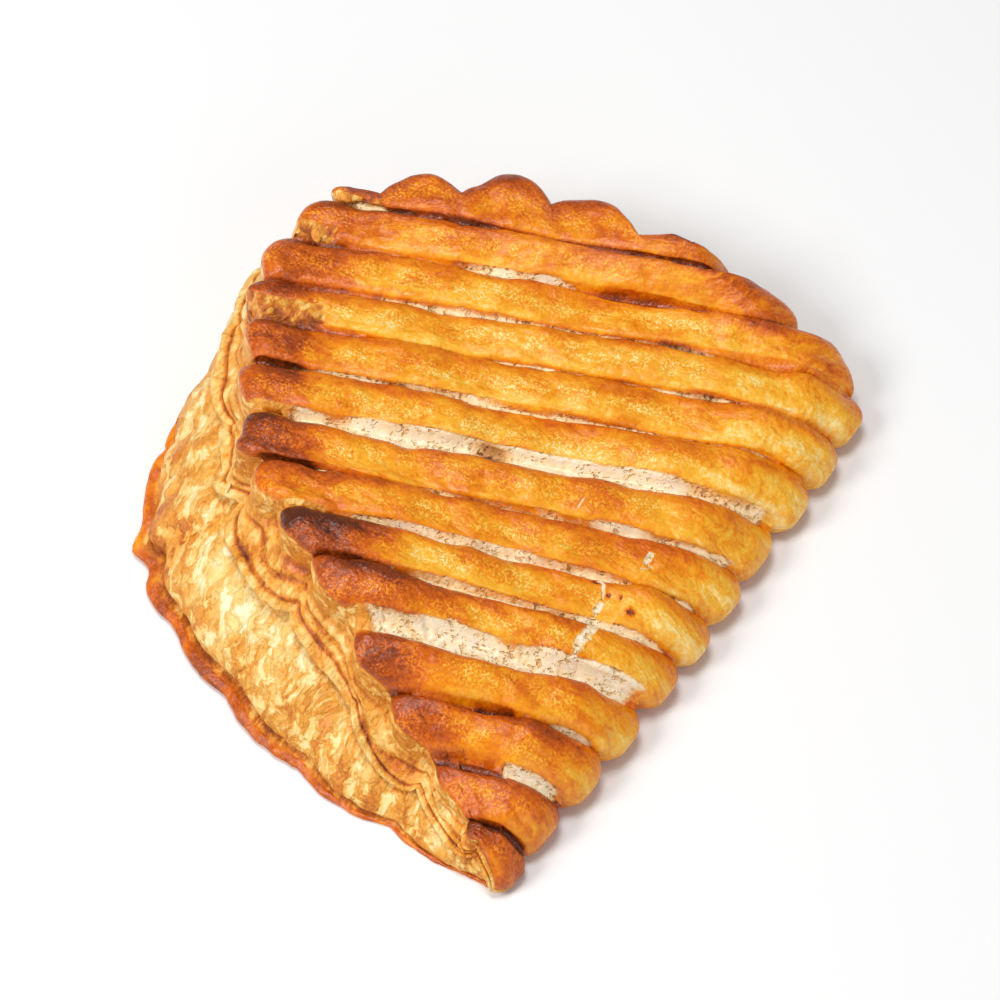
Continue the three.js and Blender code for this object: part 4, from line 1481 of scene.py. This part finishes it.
@dataclass(frozen=True)
class CrustFinish:
    """Baked puff pastry: colours by browning for the glazed ridges and the bare side, painted glints on the
    crests, and the pale crumb.
    """

    glazed: Stops = (
        (0.0, (255, 228, 150)), (0.2, (250, 184, 48)), (0.4, (238, 140, 6)),
        (0.58, (212, 98, 4)), (0.76, (162, 66, 8)), (1.0, (86, 34, 9)),
    )
    bare: Stops = (
        (0.0, (254, 240, 194)), (0.22, (250, 214, 132)), (0.42, (240, 166, 58)),
        (0.62, (210, 116, 28)), (0.82, (166, 82, 28)), (1.0, (104, 48, 20)),
    )
    crumb: Stops = (
        (0.0, (118, 82, 50)), (0.2, (202, 144, 84)), (0.4, (244, 200, 138)),
        (0.58, (254, 226, 178)), (0.85, (255, 243, 220)),
    )
    grain_depth: float = 0.0009
    glazed_roughness: float = 0.27
    bare_roughness: float = 0.36
    roughness_mottle: float = 0.3
    specular: float = 0.42

    warp: Pattern = Pattern(160.0, 2.0)
    warp_reach: float = 0.005
    mottle: Pattern = Pattern(430.0, 3.0, 0.6, tint=0.25)
    speckle: Pattern = Pattern(1300.0, 3.0, 0.65, tint=0.3)

    glaze_edge: Span = (0.3, 0.7)
    # Pale marbling: partly the glaze's own paler colour, partly painted highlight
    pale: Pattern = Pattern(1.0, 4.0, 0.6, (75.0, 165.0, 1.0), 0.35, (0.36, 0.64), tint=0.16)
    crinkle: Pattern = Pattern(1.0, 5.0, 0.62, (300.0, 640.0, 1.0), 0.5, tint=0.34, bump=0.35)
    # Spots: small pale specks on the glaze, painted highlights
    spot_edge: Span = (0.48, 0.66)
    spot_tint: float = 0.14
    net: Pattern = Pattern(1000.0, 2.0, tint=0.07, bump=0.025)
    net_sharpness: float = 90.0
    net_middle: float = 0.4
    crisp_bake: Span = (0.4, 0.62)
    # Glints: pale specks painted on the ridges' crests as highlights, with a slight bump
    painted_glints: Pattern = Pattern(1900.0, 2.0, edges=(0.46, 0.62), tint=0.24, bump=0.05)
    painted_glint_patches: Pattern = Pattern(240.0, 3.0, edges=(0.34, 0.56))
    crest_tint: float = 0.05
    ribs: Pattern = Pattern(1.0, 3.0, 0.6, (1000.0, 300.0, 1.0), tint=0.5, bump=0.2)
    glazed_swell: Pattern = Pattern(1.0, 1.0, 0.4, (260.0, 420.0, 1.0), 0.5, bump=0.5)
    hammered: Pattern = Pattern(1100.0, 1.0, 0.4, bump=0.08)
    hammered_dark: float = 0.2
    dark_bake: Span = (0.5, 0.8)

    smear: Pattern = Pattern(1.0, 7.0, 0.64, (100.0, 360.0, 360.0), 0.25, tint=0.3, bump=0.5)
    smear_edge: Span = (0.4, 0.6)
    smear_edge_tint: float = 0.18
    plates: Pattern = Pattern(0.45, 6.0, 0.6, (100.0, 360.0, 360.0), 0.25, (0.46, 0.54), 0.11, 0.22)
    line_sharpness: float = 400.0
    line_middle: float = 0.3
    line_tint: float = 0.12
    line_bump: float = 0.1
    calm_on_ribs: float = 0.5
    bare_swell: Pattern = Pattern(380.0, 1.0, 0.4, bump=0.4)
    bare_fine: Pattern = Pattern(1000.0, 1.0, 0.4, bump=0.2)

    ragged_speckle: float = 0.8
    ragged_mottle: float = 0.4
    torn_edge: Span = (0.2, 0.7)
    torn_rim: Span = (0.05, 0.3)
    torn_rim_tint: float = 0.06
    inner_crumb: Span = (0.35, 1.0)
    rim_holes: float = 0.02
    rim_tint: float = 0.24
    long_holes: Pattern = Pattern(1.0, 2.0, 0.5, (700.0, 1700.0, 1.0))
    round_holes: Pattern = Pattern(1100.0, 1.0)
    hole_edge: Span = (0.5, 0.64)
    hole_patches: Pattern = Pattern(260.0, 2.0, edges=(0.36, 0.56), tint=0.34, bump=0.4)
    layers: Pattern = Pattern(1.0, 2.0, 0.5, (160.0, 1500.0, 1.0), tint=0.8, bump=0.3)
    layer_grain: Pattern = Pattern(700.0, 3.0)
    crumb_level: float = 0.72
    pore_and_shade_tint: float = 0.3

    def material(self) -> bpy.types.Material:
        """Makes the material.

        Returns:
            A material that reads the crust's surface attributes, its sheet map and its Object coordinates.
        """
        made = bpy.data.materials.new("baked_pastry")
        made.use_nodes = True
        made.node_tree.nodes.clear()
        tree = Tree(made.node_tree)
        place = tree.node("ShaderNodeTexCoord", {}).out("Object")
        sheet = tree.node("ShaderNodeUVMap", {}, uv_map=SHEET_MAP)
        skin = {s: tree.node("ShaderNodeAttribute", {}, attribute_name=s.value).out("Fac") for s in Skin}

        def drawn(where: Value, pattern: Pattern) -> Value:
            """A pattern over some coordinates, with its edges if it has any."""
            if pattern.stretch:
                turned = {"Vector": where, "Rotation": (0.0, 0.0, pattern.slant), "Scale": pattern.stretch}
                where = tree.node("ShaderNodeMapping", turned)
            sockets = {"Vector": where, "Scale": pattern.scale}
            sockets |= {"Detail": pattern.detail, "Roughness": pattern.roughness}
            noise = tree.node("ShaderNodeTexNoise", sockets)
            return noise.stepped(pattern.edges) if pattern.edges else noise

        def blend(share: Value, first: Value, second: Value) -> Value:
            """Mix of two colours."""
            sockets = {MIX_SHARE: share, MIX_FIRST: first, MIX_SECOND: second}
            return tree.node("ShaderNodeMix", sockets, data_type="RGBA").out(MIX_COLOUR)

        warp = drawn(place, self.warp).out("Color")
        bent = tree.node("ShaderNodeVectorMath", {0: warp, "Scale": self.warp_reach}, operation="SCALE")
        flowing = tree.node("ShaderNodeVectorMath", {0: sheet, 1: bent}, operation="ADD")
        shifted = tree.node("ShaderNodeVectorMath", {0: place, 1: bent}, operation="ADD")
        bake, highlight_crest, ribbed = (skin[s] for s in (Skin.BAKE, Skin.HIGHLIGHT_CREST, Skin.RIBBED))
        mottle = drawn(place, self.mottle)
        speckle = drawn(place, self.speckle)

        # Glazed ridges
        glaze = skin[Skin.GLAZE].stepped(self.glaze_edge)
        # Pale marbling is partly the glaze's own colour, partly painted highlight; the pale spots are
        # painted highlights
        pale = drawn(flowing, self.pale)
        crinkle = drawn(flowing, self.crinkle)
        crisp = bake.stepped(self.crisp_bake)
        net = drawn(place, self.net).thread(self.net_sharpness)
        spots = crinkle.stepped(self.spot_edge) * (1.0 - pale)
        # Painted highlights: pale glints on the crests of the ridges
        painted_glints = drawn(place, self.painted_glints) * drawn(place, self.painted_glint_patches) * highlight_crest
        ribs = drawn(flowing, self.ribs).off() * ribbed
        glazed = pale.off() * self.pale.tint + crinkle.off() * self.crinkle.tint - spots * self.spot_tint
        glazed = glazed - net.off(self.net_middle) * crisp * self.net.tint - painted_glints * self.painted_glints.tint
        glazed = glazed + highlight_crest * self.crest_tint + ribs * self.ribs.tint
        dark = bake.stepped(self.dark_bake) * glaze
        hammered = drawn(place, self.hammered) * (dark * self.hammered_dark + self.hammered.bump)
        glazed_grain = drawn(flowing, self.glazed_swell) * self.glazed_swell.bump + hammered
        glazed_grain = glazed_grain + crinkle * self.crinkle.bump + net * crisp * self.net.bump
        glazed_grain = glazed_grain + painted_glints * self.painted_glints.bump + ribs * self.ribs.bump

        # Bare side
        smear = drawn(shifted, self.smear)
        plates = drawn(shifted, self.plates)
        lines = smear.thread(self.line_sharpness)
        bare = smear.stepped(self.smear_edge).off() * self.smear_edge_tint + smear.off() * self.smear.tint
        bare = bare + plates.off() * self.plates.tint + lines.off(self.line_middle) * self.line_tint
        bare = bare * (1.0 - ribbed * self.calm_on_ribs)
        bare_grain = drawn(place, self.bare_swell) * self.bare_swell.bump + smear * self.smear.bump
        bare_grain = bare_grain - plates * self.plates.bump - lines * self.line_bump
        bare_grain = bare_grain + drawn(place, self.bare_fine) * self.bare_fine.bump

        # Crumb where the crust is open
        ragged = skin[Skin.CRUMB] + speckle.off() * self.ragged_speckle + mottle.off() * self.ragged_mottle
        torn = ragged.stepped(self.torn_edge)
        rim = 1.0 - ragged.stepped(self.inner_crumb)
        holes = (drawn(sheet, self.long_holes) + drawn(place, self.round_holes)) * HALF
        pores = (holes + rim * self.rim_holes).stepped(self.hole_edge) * drawn(place, self.hole_patches)
        layers = (drawn(sheet, self.layers) + drawn(place, self.layer_grain)) * HALF
        # The pore attribute darkens the crumb at real pits and with painted shade in the cuts
        crumb = layers.off() * self.layers.tint + self.crumb_level - skin[Skin.PORES_AND_SHADE] * self.pore_and_shade_tint
        crumb = crumb - pores * self.hole_patches.tint - rim * self.rim_tint

        # Colour, sheen and grain
        browned = bake + speckle.off() * self.speckle.tint + mottle.off() * self.mottle.tint
        browned = browned + glazed * glaze + bare * (1.0 - glaze)
        browned = (browned + ragged.stepped(self.torn_rim) * self.torn_rim_tint).limited()
        bare_tone = tree.node("ShaderNodeValToRGB", {"Fac": browned}, self.bare)
        glazed_tone = tree.node("ShaderNodeValToRGB", {"Fac": browned}, self.glazed)
        crumb_tone = tree.node("ShaderNodeValToRGB", {"Fac": crumb.limited()}, self.crumb)
        colour = blend(torn, blend(glaze, bare_tone, glazed_tone), crumb_tone)
        sheen = glaze * (1.0 - torn) * (self.bare_roughness - self.glazed_roughness)
        roughness = self.bare_roughness + mottle.off() * self.roughness_mottle - sheen
        grain = bare_grain + (glazed_grain - bare_grain) * glaze
        grain = grain - torn * (layers * self.layers.bump + pores * self.hole_patches.bump)
        bump = tree.node("ShaderNodeBump", {"Strength": 1.0, "Distance": self.grain_depth, "Height": grain})
        looks = {"Base Color": colour, "Roughness": roughness, "Normal": bump}
        looks |= {"Specular IOR Level": self.specular}
        shader = tree.node("ShaderNodeBsdfPrincipled", looks)
        tree.node("ShaderNodeOutputMaterial", {"Surface": shader})
        return made


@dataclass
class Flakes:
    """Loose flakes of pastry that cling to the torn and layered places of the crust."""

    per_square_metre: float = 60000.0
    length: float = 1.5
    shape: Triple = (1.0, 0.55, 0.09)
    roundness: int = 2
    least_scale: float = 0.4
    most_scale: float = 1.3
    tilt: float = 0.3
    curl: float = 0.6
    curl_scale: float = 500.0
    curl_detail: float = 1.0
    seed: int = 5

    def build(self, crust: bpy.types.Object, finish: bpy.types.Material) -> bpy.types.Object:
        """Scatters the flakes over a copy of the crust's mesh.

        Args:
            crust: The finished crust.
            finish: The flakes' material.

        Returns:
            One plain mesh object with all flakes.
        """
        carrier = bpy.data.objects.new("flake_carrier", crust.data.copy())
        bpy.context.scene.collection.objects.link(carrier)
        group = self._tree()
        modifier = carrier.modifiers.new("scatter", "NODES")
        modifier.node_group = group
        wanted = {
            "Density": self.per_square_metre,
            "Length": self.length * MM,
            "Curl": self.curl * MM,
            "Seed": self.seed,
            "Finish": finish,
        }
        for item in group.interface.items_tree:
            if item.in_out == "INPUT" and item.name in wanted:
                modifier[item.identifier] = wanted[item.name]
        shown = carrier.evaluated_get(bpy.context.evaluated_depsgraph_get())
        mesh = bpy.data.meshes.new_from_object(shown)
        mesh.name = FLAKES_NAME
        bpy.data.objects.remove(carrier)
        piece = bpy.data.objects.new(FLAKES_NAME, mesh)
        bpy.context.scene.collection.objects.link(piece)
        return piece

    def _tree(self) -> bpy.types.NodeTree:
        """Geometry Nodes tree that scatters, shapes and turns the flakes."""
        group = bpy.data.node_groups.new("scatter_flakes", "GeometryNodeTree")
        kinds = {"Geometry": "Geometry", "Density": "Float", "Length": "Float", "Curl": "Float"}
        kinds |= {"Seed": "Int", "Finish": "Material"}
        for name, kind in kinds.items():
            group.interface.new_socket(name, in_out="INPUT", socket_type=f"NodeSocket{kind}")
        group.interface.new_socket("Geometry", in_out="OUTPUT", socket_type="NodeSocketGeometry")
        tree = Tree(group)
        given = tree.node("NodeGroupInput", {})
        seed = given.out("Seed")
        mask = tree.node("GeometryNodeInputNamedAttribute", {"Name": Skin.FLAKY.value}, data_type="FLOAT")
        density = mask.out("Attribute") * given.out("Density")
        scattered = {"Mesh": given, "Density": density, "Seed": seed}
        spots = tree.node("GeometryNodeDistributePointsOnFaces", scattered, distribute_method="RANDOM")
        ball = {"Radius": given.out("Length"), "Subdivisions": self.roundness}
        round_flake = tree.node("GeometryNodeMeshIcoSphere", ball)
        flake = tree.node("GeometryNodeTransform", {"Geometry": round_flake, "Scale": self.shape})
        most = np.array([self.tilt, self.tilt, math.pi])
        turns = {"Min": -most, "Max": most, "Seed": seed}
        spin = tree.node("FunctionNodeRandomValue", turns, data_type="FLOAT_VECTOR")
        turning = {"Rotation": spots.out("Rotation"), "Rotate By": spin}
        turned = tree.node("FunctionNodeRotateRotation", turning, rotation_space="LOCAL")
        scales = {RANDOM_LEAST: self.least_scale, RANDOM_MOST: self.most_scale, "Seed": seed}
        scale = tree.node("FunctionNodeRandomValue", scales, data_type="FLOAT").out(RANDOM_NUMBER)
        placed = {"Points": spots, "Instance": flake, "Rotation": turned, "Scale": scale}
        copies = tree.node("GeometryNodeInstanceOnPoints", placed)
        real = tree.node("GeometryNodeRealizeInstances", {"Geometry": copies})
        where = tree.node("GeometryNodeInputPosition", {})
        waving = {"Vector": where, "Scale": self.curl_scale, "Detail": self.curl_detail}
        waves = tree.node("ShaderNodeTexNoise", waving).out("Color")
        shift = tree.node("ShaderNodeVectorMath", {0: waves, 1: (HALF, HALF, HALF)}, operation="SUBTRACT")
        bent = tree.node("ShaderNodeVectorMath", {0: shift, "Scale": given.out("Curl")}, operation="SCALE")
        curled = tree.node("GeometryNodeSetPosition", {"Geometry": real, "Offset": bent})
        smooth = tree.node("GeometryNodeSetShadeSmooth", {"Geometry": curled, "Shade Smooth": False})
        dressed = tree.node("GeometryNodeSetMaterial", {"Geometry": smooth, "Material": given.out("Finish")})
        tree.node("NodeGroupOutput", {"Geometry": dressed})
        return group


@dataclass(frozen=True)
class Lamp:
    """A square soft light that points at the object."""

    name: str
    power: float
    size: float
    place: Triple


@dataclass
class Studio:
    """Pale floor, soft sky, three soft lights and the camera."""

    azimuth: float = -57.0
    elevation: float = 55.0
    distance: float = 1.0
    target: Triple = (-0.00192, -0.012125, 0.015)
    lens: float = 180.0
    sensor: float = 36.0
    floor_half: float = 3.0
    floor_colour: Rgb = (244, 244, 244)
    floor_roughness: float = 0.9
    sky: float = 0.28
    lamps: tuple[Lamp, ...] = (
        Lamp("key", 6.2, 0.4, (-0.66, 0.42, 0.75)),
        Lamp("top", 4.6, 0.35, (0.05, 0.1, 1.0)),
        Lamp("fill", 1.8, 0.7, (-0.4, -0.9, 0.5)),
    )

    def back(self) -> Vector:
        """Direction from the object to the camera."""
        a, e = math.radians(self.azimuth), math.radians(self.elevation)
        return Vector((math.sin(a) * math.cos(e), -math.cos(a) * math.cos(e), math.sin(e)))

    def build(self) -> None:
        """Makes the floor, the lights and the camera."""
        scene = bpy.context.scene
        scene.view_settings.view_transform = "Standard"
        self._floor()
        self._lights()
        camera = bpy.data.objects.new("camera", bpy.data.cameras.new("camera"))
        camera.data.lens = self.lens
        camera.data.sensor_width = self.sensor
        camera.location = Vector(self.target) + self.back() * self.distance
        camera.rotation_euler = self.back().to_track_quat("Z", "Y").to_euler()
        scene.collection.objects.link(camera)
        scene.camera = camera

    def _floor(self) -> None:
        """Makes a large pale floor."""
        half = self.floor_half
        corners = [(-half, -half, 0), (half, -half, 0), (half, half, 0), (-half, half, 0)]
        mesh = bpy.data.meshes.new("floor")
        mesh.from_pydata(corners, [], [(0, 1, 2, 3)])
        floor = bpy.data.objects.new("floor", mesh)
        made = bpy.data.materials.new("floor")
        made.use_nodes = True
        shader = made.node_tree.nodes["Principled BSDF"]
        shader.inputs["Base Color"].default_value = linear(self.floor_colour)
        shader.inputs["Roughness"].default_value = self.floor_roughness
        mesh.materials.append(made)
        bpy.context.scene.collection.objects.link(floor)

    def _lights(self) -> None:
        """Makes a soft sky and the soft lights."""
        world = bpy.data.worlds.new("sky")
        world.use_nodes = True
        background = world.node_tree.nodes["Background"]
        background.inputs["Color"].default_value = WHITE
        background.inputs["Strength"].default_value = self.sky
        bpy.context.scene.world = world
        for lamp in self.lamps:
            light = bpy.data.lights.new(lamp.name, "AREA")
            light.energy = lamp.power
            light.size = lamp.size
            piece = bpy.data.objects.new(lamp.name, light)
            piece.location = lamp.place
            piece.rotation_euler = Vector(lamp.place).to_track_quat("Z", "Y").to_euler()
            bpy.context.scene.collection.objects.link(piece)


def main() -> None:
    """Builds the turnover's pieces round the frame."""
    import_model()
    Studio().build()
    finish = CrustFinish().material()
    edge = SealedEdge()
    crust = Crust(edge, Scoring(edge)).build()
    crust.data.materials.append(finish)
    LOG.info("crust: %d faces", len(crust.data.polygons))
    flakes = Flakes().build(crust, finish)
    LOG.info("flakes: %d faces", len(flakes.data.polygons))
    for piece in (crust, flakes):
        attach(piece, BODY)
    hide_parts(NODE)


if __name__ == "__main__":
    logging.basicConfig(level=logging.INFO)
    main()
